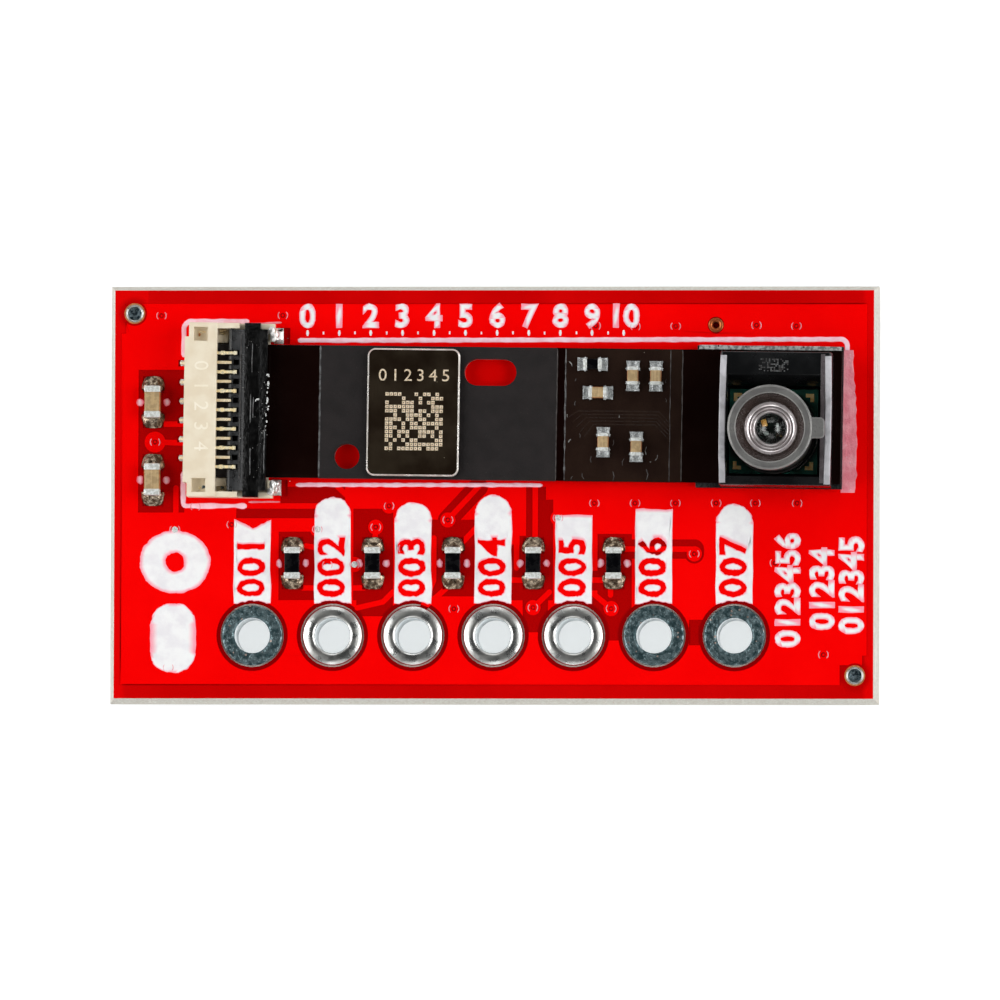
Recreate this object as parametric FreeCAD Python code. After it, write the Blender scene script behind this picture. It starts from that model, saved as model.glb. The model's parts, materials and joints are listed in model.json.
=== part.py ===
import FreeCAD
import Part
import math
import os

Vec = FreeCAD.Vector
Z_AXIS = Vec(0, 0, 1)
edge_tolerance = 1e-6

# All sizes are millimetres. The origin is the centre of the board's underside,
# +X runs along the board towards the sensor head and +Z points up.

# Board, snapped out of a V-scored panel
board_length = 24.3
board_width = 13.2
board_thickness = 1.6
score_slant = 0.15
web_thickness = 0.5
mask_thickness = 0.03
copper_thickness = 0.035
pour_margin_x = 0.2
pour_margin_y = 0.42

# Plated pin holes
pin_count = 7
pin_pitch = 2.54
pin_row_inset = 2.14
pin_bore_radius = 0.55
pin_plating = 0.16
pin_ring_radius = 0.95
ring_rise = 0.015
mask_relief = 0.05
pin_keepout = 0.17

# Plated corner holes
rear_hole_inset_x = 0.77
rear_hole_inset_y = 0.88
front_hole_inset_x = 0.73
front_hole_inset_y = 0.88
corner_bore_radius = 0.24
corner_plating = 0.05
corner_ring_radius = 0.33

# Vias under the mask, and one left open
via_drill_radius = 0.1
via_barrel_radius = 0.15
via_pad_radius = 0.25
open_via_x = 7.01
open_via_y = 5.35
# The outer vias go by their inset from the left or right end, and y
left_via_insets = ((1.62, 5.65), (1.43, 1.65), (1.88, -5.48), (2.07, -1.12))
right_via_insets = ((2.6, 5.31), (2.56, -0.28), (3.25, -2.17), (1.72, -5.06))
via_places = (
    (-6.69, 5.66), (-8.28, -0.96), (-9.43, -0.39), (3.21, 5.32), (4.47, 5.30),
    (5.74, 5.31), (8.29, 5.34), (3.19, -0.28), (4.47, -0.28), (5.75, -0.28),
    (7.03, -0.28), (8.27, -0.28),
    (-5.56, -1.11), (-5.25, -2.24), (-4.39, -2.22), (-3.72, -1.04), (-3.30, -0.37),
    (-2.85, -1.72), (-1.44, -0.81), (-1.24, -3.62), (1.26, -3.58), (2.04, -0.75),
    (3.73, -3.61), (6.35, -1.88),
)

# Chips on the board
chip_length = 1.0
chip_width = 0.5
resistor_height = 0.35
capacitor_height = 0.5
chip_pad_length = 0.52
chip_pad_width = 0.66
chip_pad_span = 1.64
chip_lift = 0.03
solder_climb = 0.7
resistor_count = 5
resistor_row_offset = 2.28
capacitor_inset = 1.37
capacitor_ys = (2.91, 0.45)

# Copper pattern between the resistors and the pins: lengths along X are in
# pin pitches from the middle pin, lengths along Y are in millimetres
track_width = 0.19
track_gap = 0.2
bare_fields = (
    (-2.67, -3.34, -2.21, -1.19), (-1.74, -3.34, -1.25, -0.43), (-0.79, -3.22, -0.24, -1.32),
    (-1.70, -3.85, -1.25, -3.09), (-0.78, -1.70, -0.23, -0.81), (0.41, -1.44, 0.65, 0.23),
    (0.59, -3.34, 0.74, -0.18), (0.22, -3.34, 0.38, -1.60), (0.33, -3.34, 0.74, -1.32),
    (0.37, -4.35, 0.68, -3.22), (1.30, -3.28, 1.72, -1.26), (1.20, -3.03, 1.33, -2.42),
    (1.20, -4.61, 1.72, -3.18), (2.44, -4.76, 2.61, -3.97), (-2.65, -0.75, -1.85, 0.23),
    (-3.20, -0.75, -2.59, -0.46),
)
tracks = (
    ((-3.03, -0.37), (-1.30, -0.37)), ((-1.94, 0.23), (-1.70, -0.34)),
    ((-2.33, -1.63), (-2.19, -1.70)), ((-2.37, -2.96), (-2.19, -2.96)),
    ((-1.79, -2.96), (-1.61, -2.96)), ((-1.46, -1.04), (-1.48, -1.51)),
    ((-1.69, -3.59), (-1.37, -3.40), (-1.25, -3.09)),
    ((-0.74, -1.38), (-0.74, -2.71), (-0.87, -3.53)), ((-0.87, -3.59), (-0.59, -2.99)),
    ((-0.38, -1.51), (-0.22, -1.07)),
    ((0.52, 0.23), (0.52, -1.51)), ((0.29, -1.44), (0.29, -2.33)),
    ((0.18, -2.71), (0.43, -2.71)), ((0.50, -3.58), (0.70, -3.09)),
    ((1.47, -3.61), (1.25, -3.15)),
    ((1.18, -2.71), (1.40, -2.71)), ((1.46, -3.18), (1.46, -2.87)),
)
tracks_through_pour = (
    ((-0.57, -0.81), (-0.19, 0.23)), ((1.60, -1.73), (2.50, -1.73), (2.50, -1.88)),
)
capacitor_field = (-0.46, 0.99)
capacitor_tracks = (
    ((-10.45, 2.22), (-9.72, 2.22)), ((-10.72, 1.65), (-9.72, 1.62)),
    ((-10.05, 0.20), (-10.05, -1.44)),
)
capacitor_via_pad = 0.34
corner_keepout = 1.05

# Sensor frame: it starts at the middle of the connector's rear face, on the
# board, and lies at a slight angle to the board, as the part was placed
sensor_inset = 2.4
sensor_y = 2.645
sensor_skew = -0.7

# Flip-latch connector
contact_count = 13
contact_pitch = 0.3
contact_thickness = 0.09
contact_slot_gap = 0.01
contact_rear = 0.45
contact_spine = 0.18
beam_height = 0.1
beam_bottom = 0.65
lower_beam_bottom = 0.06
lower_beam_top = 0.16
long_beam_reach = 1.6
short_beam_reach = 1.48
tip_width = 0.13
tip_length = 0.05
front_tail_reach = 2.92
rear_tail_reach = 0.2
tail_height = 0.1
block_length = 1.02
block_height = 0.85
block_end_inset = 0.13
block_end_length = 0.45
connector_span = 5.5
floor_bottom = 0.04
floor_top = 0.24
roof_bottom = 0.5
pocket_size = 0.44
pocket_depth = 0.3
pocket_offset = 2.39
pocket_rear = 0.28
arm_width = 0.17
arm_low_height = 0.45
arm_high_height = 0.75
arm_high_reach = 1.72
cheek_length = 0.31
cheek_height = 0.42
cheek_width = 0.25
post_front = 2.81
post_height = 0.46
post_foot = 0.15
post_inner = 2.2
front_gap = 0.04

# Latch, carried on pins in the connector's arms
pivot_reach = 1.49
pivot_height = 0.58
axle_radius = 0.06
axle_clearance = 0.02
axle_pin = 0.11
latch_side_clearance = 0.035
latch_bottom = 0.52
latch_top = 0.82
latch_heel = 0.1
latch_heel_round = 0.08
finger_root = 1.73
notch_width = 0.17
ear_start = 1.89
ear_end = 2.39
ear_bottom = 0.5

# Anchors at the connector's front corners
anchor_thickness = 0.1
anchor_width = 0.28
anchor_offset = 2.4
anchor_foot = 0.17
anchor_height = 0.38

# Connector pads
tail_pad_width = 0.19
rear_pad_length = 0.5
front_pad_length = 0.45
anchor_pad = 0.5

# Flex circuit and what stiffens it
film_width = 4.2
film_end = 20.75
film_bottom = 0.3
film_thickness = 0.12
cavity_side_gap = 0.04
film_stop_gap = 0.04
tail_stiffener_thickness = 0.04
tail_stiffener_end = 2.55
tail_pad_thickness = 0.02
tail_pads_inset = 0.05
tail_pads_length = 1.1
tail_pads_width = 0.16
tape_thickness = 0.1
tape_start = 4.5
tape_end = 20.5
tape_inset = 0.15
middle_start = 4.25
middle_end = 11.75
chip_zone_start = 12.02
chip_zone_end = 15.72
slot_length = 1.65
slot_width = 0.85
slot_place = (9.645, 1.303)
round_hole_radius = 0.4
round_hole_place = (5.148, -1.402)

# Identification plate
plate_length = 2.92
plate_width = 4.03
plate_thickness = 0.25
plate_corner = 0.25
plate_bevel = 0.05
plate_place = 7.24

# Small chips on the flex
small_length = 0.6
small_width = 0.3
small_resistor_height = 0.23
small_capacitor_height = 0.3
small_pad_length = 0.27
small_pad_width = 0.42
small_pad_span = 0.92
small_lift = 0.02
small_resistor_place = (12.88, 1.593, 0)
small_capacitor_places = (
    (13.06, 0.695, 0), (14.157, 1.238, 90), (14.887, 1.237, 90),
    (13.25, -0.863, 90), (14.30, -1.0, 90),
)

# Sensor head
base_plate_start = 16.17
base_plate_length = 4.62
base_plate_width = 4.5
head_length = 3.5
head_width = 4.2
head_centre = (18.73, -0.13)
head_wall_top = 1.9
head_wall_round = 0.09
left_wall = 0.22
right_wall = 0.32
south_wall = 0.28
north_block = 1.02
north_slope = 0.3
north_slope_drop = 0.7
laser_board_length = 2.79
laser_board_width = 2.67
laser_board_thickness = 0.33
laser_board_place = (18.63, -0.48)
mark_size = 0.26
mark_bar = 0.12
mark_inset = 0.13
mark_thickness = 0.02
die_thickness = 0.1
die_places = ((-0.22, 0.16, 0.24, 0.3), (-0.14, -0.14, 0.2, 0.2), (0.24, -0.02, 0.22, 0.36))

# Lens stack, coaxial above the laser board
head_height = 3.1
barrel_radius = 1.3
barrel_foot_radius = 1.36
barrel_foot_height = 0.3
barrel_mouth_radius = 1.1
barrel_window_radius = 0.72
ring_radius = 1.34
ring_bore_radius = 1.08
ring_height = 0.26
seat_depth = 0.9
seat_clearance = 0.02
cone_throat_radius = 0.82
cone_throat_height = 0.32
cone_lip = 0.05
lens_rim_height = 0.2
lens_clearance = 0.01
dome_radius = 0.6
dome_height = 0.34
tab_reach = 1.72
tab_width = 0.66
tab_corner = 0.16

# Heights that follow from the layers
laminate_bottom = mask_thickness + copper_thickness
laminate_top = board_thickness - mask_thickness - copper_thickness
copper_top = laminate_top + copper_thickness
film_top = film_bottom + film_thickness
face_x = board_length / 2 - score_slant
face_y = board_width / 2 - score_slant
pin_hole_radius = pin_bore_radius + pin_plating
corner_hole_radius = corner_bore_radius + corner_plating
pin_radii = (pin_bore_radius, pin_hole_radius, pin_ring_radius)
corner_radii = (corner_bore_radius, corner_hole_radius, corner_ring_radius)
masked_vias = list(via_places)
masked_vias += [(inset - board_length / 2, y) for inset, y in left_via_insets]
masked_vias += [(board_length / 2 - inset, y) for inset, y in right_via_insets]
all_vias = masked_vias + [(open_via_x, open_via_y)]
pin_row_y = -board_width / 2 + pin_row_inset
resistor_row_y = pin_row_y + resistor_row_offset
capacitor_x = -board_length / 2 + capacitor_inset
sensor_x = -board_length / 2 + sensor_inset
rear_hole_x = -board_length / 2 + rear_hole_inset_x
rear_hole_y = board_width / 2 - rear_hole_inset_y
front_hole_x = board_length / 2 - front_hole_inset_x
front_hole_y = -board_width / 2 + front_hole_inset_y
laser_board_top = film_top + laser_board_thickness
ring_top = tape_thickness + head_height
ring_bottom = ring_top - ring_height
seat_height = ring_top - seat_depth
arm_inner = connector_span / 2 - arm_width
latch_half = arm_inner - latch_side_clearance
latch_front = post_front - post_foot - front_gap
cavity_half = film_width / 2 + cavity_side_gap
cavity_rear = contact_rear + contact_spine
film_start = cavity_rear + film_stop_gap
tail_pads_start = film_start + tail_pads_inset


def block(x0, y0, z0, x1, y1, z1):
    return Part.makeBox(x1 - x0, y1 - y0, z1 - z0, Vec(x0, y0, z0))


def disc(x, y, radius, z0, z1):
    return Part.makeCylinder(radius, z1 - z0, Vec(x, y, z0))


def fuse(shapes):
    if len(shapes) == 1:
        return shapes[0]
    return shapes[0].multiFuse(shapes[1:]).removeSplitter()


def band(points, width, z0, z1):
    pieces = [disc(x, y, width / 2, z0, z1) for x, y in points]
    for (xa, ya), (xb, yb) in zip(points, points[1:]):
        run = math.hypot(xb - xa, yb - ya)
        bar = block(0, -width / 2, z0, run, width / 2, z1)
        bar.rotate(Vec(0, 0, 0), Z_AXIS, math.degrees(math.atan2(yb - ya, xb - xa)))
        bar.translate(Vec(xa, ya, 0))
        pieces.append(bar)
    return fuse(pieces)


def side_profile(points, y0, y1):
    """Extrude an outline given as (x, z) points from y0 to y1."""
    wire = Part.makePolygon([Vec(x, y0, z) for x, z in points + points[:1]])
    return Part.Face(wire).extrude(Vec(0, y1 - y0, 0))


def turned(points, x, y):
    """Revolve an outline given as (radius, z) points about the vertical at x, y."""
    wire = Part.makePolygon([Vec(x + r, y, z) for r, z in points + points[:1]])
    return Part.Face(wire).revolve(Vec(x, y, 0), Z_AXIS, 360)


def upright_edges(shape):
    return [e for e in shape.Edges if e.BoundBox.XLength + e.BoundBox.YLength < 1000 * edge_tolerance]


def rounded_plate(length, width, corner, z0, z1):
    plate = block(-length / 2, -width / 2, z0, length / 2, width / 2, z1)
    return plate.makeFillet(corner, upright_edges(plate))


def place_sensor(shape):
    shape = shape.copy()
    shape.rotate(Vec(0, 0, 0), Z_AXIS, sensor_skew)
    shape.translate(Vec(sensor_x, sensor_y, board_thickness))
    return shape


def pin_x(index):
    return (index - (pin_count - 1) / 2) * pin_pitch


def resistor_x(index):
    return (index - (resistor_count - 1) / 2 - 0.5) * pin_pitch


def in_pitches(points):
    return [(u * pin_pitch, y) for u, y in points]


def contact_v(index):
    return (index - (contact_count - 1) / 2) * contact_pitch


def is_long(index):
    return index % 2 == 0


def board_chips():
    """Place, height and node name of each chip on the board."""
    chips = []
    for index in range(resistor_count):
        chips.append((resistor_x(index), resistor_row_y, resistor_height, f"resistor_{index + 1}"))
    for index, y in enumerate(capacitor_ys):
        chips.append((capacitor_x, y, capacitor_height, f"capacitor_{index + 1}"))
    return chips


def chip_pads(z0, z1):
    pads = []
    for x, y, _height, _name in board_chips():
        for end in (-1, 1):
            inner = y + end * (chip_pad_span / 2 - chip_pad_length)
            outer = y + end * chip_pad_span / 2
            pads.append(block(x - chip_pad_width / 2, min(inner, outer), z0,
                              x + chip_pad_width / 2, max(inner, outer), z1))
    return pads


def connector_pads(z0, z1):
    """Pads in the sensor frame, for tails at the rear and front and for the anchors."""
    pads = []
    half = tail_pad_width / 2
    for index in range(contact_count):
        v = contact_v(index)
        if is_long(index):
            start = front_tail_reach - front_pad_length / 2
            pads.append(block(start, v - half, z0, start + front_pad_length, v + half, z1))
        else:
            start = -rear_tail_reach - mask_relief
            pads.append(block(start, v - half, z0, start + rear_pad_length, v + half, z1))
    for side in (-1, 1):
        v = side * anchor_offset
        pads.append(block(post_front - mask_relief, v - anchor_pad / 2, z0,
                          post_front - mask_relief + anchor_pad, v + anchor_pad / 2, z1))
    return pads


def on_board(shapes):
    """Shapes drawn in the sensor frame at board heights, turned and shifted onto the board."""
    placed = []
    for shape in shapes:
        shape.rotate(Vec(0, 0, 0), Z_AXIS, sensor_skew)
        shape.translate(Vec(sensor_x, sensor_y, 0))
        placed.append(shape)
    return placed


def drilled_holes(z0, z1):
    """Every hole drilled through the board, at the outside of its plating."""
    holes = [disc(pin_x(i), pin_row_y, pin_hole_radius, z0, z1) for i in range(pin_count)]
    holes.append(disc(rear_hole_x, rear_hole_y, corner_hole_radius, z0, z1))
    holes.append(disc(front_hole_x, front_hole_y, corner_hole_radius, z0, z1))
    return holes


def via_holes(z0, z1):
    return [disc(x, y, via_barrel_radius, z0, z1) for x, y in all_vias]


def laminate():
    half_x = board_length / 2
    half_y = board_width / 2
    web_low = (board_thickness - web_thickness) / 2
    web_high = (board_thickness + web_thickness) / 2
    low = laminate_bottom
    high = laminate_top

    def profile(half, face):
        return [(-half, web_low), (-face, low), (face, low), (half, web_low),
                (half, web_high), (face, high), (-face, high), (-half, web_high)]

    along = side_profile(profile(half_x, face_x), -half_y, half_y)
    across = side_profile(profile(half_y, face_y), -half_x, half_x)
    across.rotate(Vec(0, 0, 0), Z_AXIS, 90)
    board = along.common(across)
    return board.cut(drilled_holes(low, high) + via_holes(low, high))


def copper_pattern(z0, z1):
    """The top copper: one pour, opened round the tracks and pads that cross it."""
    pour = block(-face_x + pour_margin_x, -face_y + pour_margin_y, z0,
                 face_x - pour_margin_x, face_y - pour_margin_y, z1)
    bare = [disc(pin_x(i), pin_row_y, pin_ring_radius + pin_keepout, z0, z1) for i in range(pin_count)]
    for u0, y0, u1, y1 in bare_fields:
        bare.append(block(u0 * pin_pitch, y0, z0, u1 * pin_pitch, y1, z1))
    for track in tracks_through_pour:
        bare.append(band(in_pitches(track), track_width + 2 * track_gap, z0, z1))
    field_y0 = capacitor_ys[1] - chip_pad_span / 2 - track_gap
    field_y1 = capacitor_ys[0] + chip_pad_span / 2 + track_gap
    bare.append(block(capacitor_x + capacitor_field[0], field_y0, z0,
                      capacitor_x + capacitor_field[1], field_y1, z1))
    bare.append(block(face_x - corner_keepout, -face_y, z0,
                      face_x, -face_y + corner_keepout, z1))
    laid = [band(in_pitches(track), track_width, z0, z1) for track in tracks + tracks_through_pour]
    laid += [band(track, track_width, z0, z1) for track in capacitor_tracks]
    laid += [disc(x, y, via_pad_radius, z0, z1) for x, y in masked_vias]
    laid.append(disc(*capacitor_tracks[1][0], capacitor_via_pad, z0, z1))
    laid += [disc(pin_x(i), pin_row_y, pin_ring_radius, z0, z1) for i in range(pin_count)]
    laid.append(disc(rear_hole_x, rear_hole_y, corner_ring_radius, z0, z1))
    laid.append(disc(front_hole_x, front_hole_y, corner_ring_radius, z0, z1))
    laid += chip_pads(z0, z1) + on_board(connector_pads(z0, z1))
    return pour.cut(bare).multiFuse(laid)


def top_copper():
    z0, z1 = laminate_top, copper_top
    return copper_pattern(z0, z1).cut(drilled_holes(z0, z1) + via_holes(z0, z1)).removeSplitter()


def bottom_copper():
    z0, z1 = mask_thickness, laminate_bottom
    pour = block(-face_x + pour_margin_x, -face_y + pour_margin_y, z0,
                 face_x - pour_margin_x, face_y - pour_margin_y, z1)
    gaps = [disc(pin_x(i), pin_row_y, pin_ring_radius + pin_keepout, z0, z1) for i in range(pin_count)]
    pads = [disc(pin_x(i), pin_row_y, pin_ring_radius, z0, z1) for i in range(pin_count)]
    pads.append(disc(rear_hole_x, rear_hole_y, corner_ring_radius, z0, z1))
    pads.append(disc(front_hole_x, front_hole_y, corner_ring_radius, z0, z1))
    return pour.cut(gaps).multiFuse(pads).cut(drilled_holes(z0, z1) + via_holes(z0, z1))


def mask_openings(z0, z1):
    ring = pin_ring_radius + mask_relief
    openings = [disc(pin_x(i), pin_row_y, ring, z0, z1) for i in range(pin_count)]
    corner = corner_ring_radius + mask_relief
    openings.append(disc(rear_hole_x, rear_hole_y, corner, z0, z1))
    openings.append(disc(front_hole_x, front_hole_y, corner, z0, z1))
    return openings


def top_mask(copper):
    sheet = block(-face_x, -face_y, laminate_top, face_x, face_y, board_thickness)
    openings = mask_openings(laminate_top, board_thickness)
    openings += chip_pads(laminate_top, board_thickness)
    openings += on_board(connector_pads(laminate_top, board_thickness))
    openings.append(disc(open_via_x, open_via_y, via_pad_radius, laminate_top, board_thickness))
    barrels = via_holes(laminate_top, copper_top)
    return sheet.cut([copper] + openings + barrels)


def bottom_mask(copper):
    sheet = block(-face_x, -face_y, 0, face_x, face_y, laminate_bottom)
    barrels = via_holes(mask_thickness, laminate_bottom)
    return sheet.cut([copper] + mask_openings(0, laminate_bottom) + barrels)


def sleeve(x, y, bore, hole, ring):
    """Solder-coated barrel in its drilled hole, with a ring on each face proud of the mask."""
    top = board_thickness + ring_rise
    barrel = disc(x, y, hole, 0, top)
    rings = [disc(x, y, ring, copper_top, top), disc(x, y, ring, 0, mask_thickness)]
    return barrel.multiFuse(rings).cut(disc(x, y, bore, 0, top)).removeSplitter()


def via_barrels():
    barrels = []
    for x, y in all_vias:
        wall = disc(x, y, via_barrel_radius, mask_thickness, copper_top)
        barrels.append(wall.cut(disc(x, y, via_drill_radius, mask_thickness, copper_top)))
    return Part.makeCompound(barrels)


def chip_body(length, width, height, lift):
    return block(-length / 2, -width / 2, lift, length / 2, width / 2, lift + height)


def solder_ends(length, width, height, lift, pad_length, pad_width, pad_span, pad_depth):
    """Solder under both ends of a chip along X, climbing its end faces."""
    ends = []
    for side in (-1, 1):
        inner = side * (pad_span / 2 - pad_length)
        outer = side * pad_span / 2
        face = side * length / 2
        pad = block(min(inner, outer), -pad_width / 2, -pad_depth, max(inner, outer), pad_width / 2, lift)
        wedge = side_profile([(face, lift), (outer, lift), (face, lift + solder_climb * height)],
                             -width / 2, width / 2)
        ends.append(fuse([pad, wedge]))
    return ends


def chip_joints():
    joints = []
    depth = board_thickness - copper_top
    for x, y, height, _name in board_chips():
        for end in solder_ends(chip_length, chip_width, height, chip_lift,
                               chip_pad_length, chip_pad_width, chip_pad_span, depth):
            end.rotate(Vec(0, 0, 0), Z_AXIS, 90)
            end.translate(Vec(x, y, board_thickness))
            joints.append(end)
    return Part.makeCompound(joints)


def board_chip(x, y, height):
    chip = chip_body(chip_length, chip_width, height, chip_lift)
    chip.rotate(Vec(0, 0, 0), Z_AXIS, 90)
    chip.translate(Vec(x, y, board_thickness))
    return chip


def contact(index):
    """One fork-shaped contact, standing on edge in its slot."""
    v = contact_v(index)
    y0 = v - contact_thickness / 2
    y1 = v + contact_thickness / 2
    top = beam_bottom + beam_height
    inner = contact_rear + contact_spine
    touch = tail_pads_start + tail_pads_length / 2
    rise = film_bottom - tail_pad_thickness
    slope = rise - lower_beam_top
    reach = long_beam_reach if is_long(index) else short_beam_reach
    upper = [(inner, lower_beam_top), (inner, beam_bottom), (reach, beam_bottom), (reach, top)]
    bump = [(touch + slope, lower_beam_top), (touch, rise), (touch - slope, lower_beam_top)]
    if is_long(index):
        bend = front_tail_reach - tail_height - lower_beam_bottom
        lower = [(contact_rear, lower_beam_bottom), (bend, lower_beam_bottom), (bend, 0),
                 (front_tail_reach, 0), (front_tail_reach, tail_height), (bend, lower_beam_top)]
        body = side_profile(lower + bump + upper + [(contact_rear, top)], y0, y1)
        tip = block(reach - tip_length, v - tip_width / 2, beam_bottom, reach, v + tip_width / 2, top)
        return fuse([body, tip])
    end = touch + 2 * slope
    lower = [(-rear_tail_reach, 0), (contact_rear - lower_beam_bottom, 0),
             (contact_rear, lower_beam_bottom), (end, lower_beam_bottom), (end, lower_beam_top)]
    rear = [(contact_rear, top), (contact_rear, tail_height), (-rear_tail_reach, tail_height)]
    return side_profile(lower + bump + upper + rear, y0, y1)


def contact_slots():
    """Room for each contact in the block and its floor."""
    slots = []
    half = contact_thickness / 2 + contact_slot_gap
    roof = beam_bottom + beam_height + contact_slot_gap
    for index in range(contact_count):
        v = contact_v(index)
        rear = contact_rear - contact_slot_gap
        slots.append(block(rear, v - half, 0, block_length, v + half, roof))
        if is_long(index):
            slots.append(block(rear, v - half, 0, post_front, v + half, floor_top))
        else:
            slots.append(block(0, v - half, 0, block_length, v + half, tail_height + contact_slot_gap))
            slots.append(block(block_length, v - half, 0, long_beam_reach, v + half, floor_top))
    return slots


def connector_housing():
    half = connector_span / 2
    inner_half = half - block_end_length
    pieces = [
        block(0, -inner_half, 0, block_length, inner_half, block_height),
        block(block_end_inset, -half, 0, block_length, half, block_height),
        block(block_length, -arm_inner, floor_bottom, post_front - post_foot, arm_inner, floor_top),
    ]
    for side in (-1, 1):
        def walled(u0, v0, u1, v1, height):
            return block(u0, min(side * v0, side * v1), 0, u1, max(side * v0, side * v1), height)

        pieces.append(walled(block_length, arm_inner, post_front, half, arm_low_height))
        pieces.append(walled(block_length, arm_inner, arm_high_reach, half, arm_high_height))
        pieces.append(walled(block_length, cavity_half, block_length + cheek_length,
                             cavity_half + cheek_width, cheek_height))
        pieces.append(walled(post_front - post_foot, post_inner, post_front, half, post_height))
        pieces.append(walled(ear_end + 2 * axle_clearance, arm_inner, post_front, half, post_height))
    shell = fuse(pieces)
    cavity = block(cavity_rear, -cavity_half, floor_top, block_length, cavity_half, roof_bottom)
    cuts = [cavity] + contact_slots()
    for side in (-1, 1):
        v = side * pocket_offset
        cuts.append(block(pocket_rear, v - pocket_size / 2, block_height - pocket_depth,
                          pocket_rear + pocket_size, v + pocket_size / 2, block_height))
        start = arm_inner if side > 0 else -arm_inner - axle_pin
        cuts.append(Part.makeCylinder(axle_radius + axle_clearance, axle_pin,
                                      Vec(pivot_reach, start, pivot_height), Vec(0, 1, 0)))
    return shell.cut(cuts).removeSplitter()


def latch_body():
    """The flip cover: a plate with fingers at its heel, an axle through them and two ears."""
    heel = pivot_reach - latch_heel
    plate = side_profile(
        [(pivot_reach, latch_bottom), (latch_front, latch_bottom), (latch_front, latch_top),
         (heel + latch_heel_round, latch_top - latch_heel_round / 2), (heel, latch_top - latch_heel),
         (heel, pivot_height)],
        -latch_half, latch_half)
    round_heel = Part.makeCylinder(latch_heel - axle_clearance, 2 * latch_half,
                                   Vec(pivot_reach, -latch_half, pivot_height), Vec(0, 1, 0))
    ears = [block(ear_start, -connector_span / 2, ear_bottom, ear_end, connector_span / 2, latch_top)]
    notches = []
    for index in range(contact_count):
        v = contact_v(index)
        notches.append(block(heel - latch_heel, v - notch_width / 2, 0,
                             finger_root, v + notch_width / 2, latch_top))
    body = fuse([plate, round_heel] + ears).cut(notches)
    pin_end = arm_inner + axle_pin - axle_clearance
    axle = Part.makeCylinder(axle_radius, 2 * pin_end, Vec(pivot_reach, -pin_end, pivot_height), Vec(0, 1, 0))
    return body.fuse(axle).removeSplitter()


def anchor(side):
    v0 = side * anchor_offset - anchor_width / 2
    v1 = side * anchor_offset + anchor_width / 2
    plate = block(post_front, v0, 0, post_front + anchor_thickness, v1, anchor_height)
    foot = block(post_front, v0, 0, post_front + anchor_foot, v1, anchor_thickness)
    return fuse([plate, foot])


def connector_joints():
    """Solder on each tail's pad and against each anchor's foot."""
    depth = board_thickness - copper_top
    half = contact_thickness / 2
    joints = connector_pads(-depth, 0)
    result = []
    for index, pad in enumerate(joints[:contact_count]):
        v = contact_v(index)
        if is_long(index):
            face = front_tail_reach
            far = front_tail_reach + front_pad_length / 2
        else:
            face = -rear_tail_reach
            far = -rear_tail_reach - mask_relief
        wedge = side_profile([(face, 0), (far, 0), (face, tail_height)], v - half, v + half)
        result.append(fuse([pad, wedge]))
    for side, pad in zip((-1, 1), joints[contact_count:]):
        v = side * anchor_offset
        face = post_front + anchor_foot
        far = post_front - mask_relief + anchor_pad
        wedge = side_profile([(face, 0), (far, 0), (face, anchor_thickness)],
                             v - anchor_width / 2, v + anchor_width / 2)
        result.append(fuse([pad, wedge]))
    return Part.makeCompound(result)


def flex_openings(z0, z1):
    s, t = slot_place
    reach = (slot_length - slot_width) / 2
    slot = band([(s - reach, t), (s + reach, t)], slot_width, z0, z1)
    return [slot, disc(*round_hole_place, round_hole_radius, z0, z1)]


def strip(start, end, half, z0, z1, opened=True):
    sheet = block(start, -half, z0, end, half, z1)
    if opened:
        return sheet.cut(flex_openings(z0, z1))
    return sheet


def tail_pads():
    z0 = film_bottom - tail_pad_thickness
    pads = []
    for index in range(contact_count):
        v = contact_v(index)
        pads.append(block(tail_pads_start, v - tail_pads_width / 2, z0,
                          tail_pads_start + tail_pads_length, v + tail_pads_width / 2, film_bottom))
    return Part.makeCompound(pads)


def id_plate():
    plate = rounded_plate(plate_length, plate_width, plate_corner, 0, plate_thickness)
    rim = [e for e in plate.Edges if e.BoundBox.ZMin > plate_thickness - edge_tolerance]
    plate = plate.makeChamfer(plate_bevel, rim)
    plate.translate(Vec(plate_place, 0, film_top))
    return plate


def small_places():
    """Place, height and node name of each chip on the flex."""
    chips = [(small_resistor_place, small_resistor_height, "flex_resistor_1")]
    for index, place in enumerate(small_capacitor_places):
        chips.append((place, small_capacitor_height, f"flex_capacitor_{index + 1}"))
    return chips


def small_chip(place, height):
    s, t, angle = place
    chip = chip_body(small_length, small_width, height, small_lift)
    chip.rotate(Vec(0, 0, 0), Z_AXIS, angle)
    chip.translate(Vec(s, t, film_top))
    return chip


def small_joints():
    joints = []
    for (s, t, angle), height, _name in small_places():
        for end in solder_ends(small_length, small_width, height, small_lift,
                               small_pad_length, small_pad_width, small_pad_span, 0):
            end.rotate(Vec(0, 0, 0), Z_AXIS, angle)
            end.translate(Vec(s, t, film_top))
            joints.append(end)
    return Part.makeCompound(joints)


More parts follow.
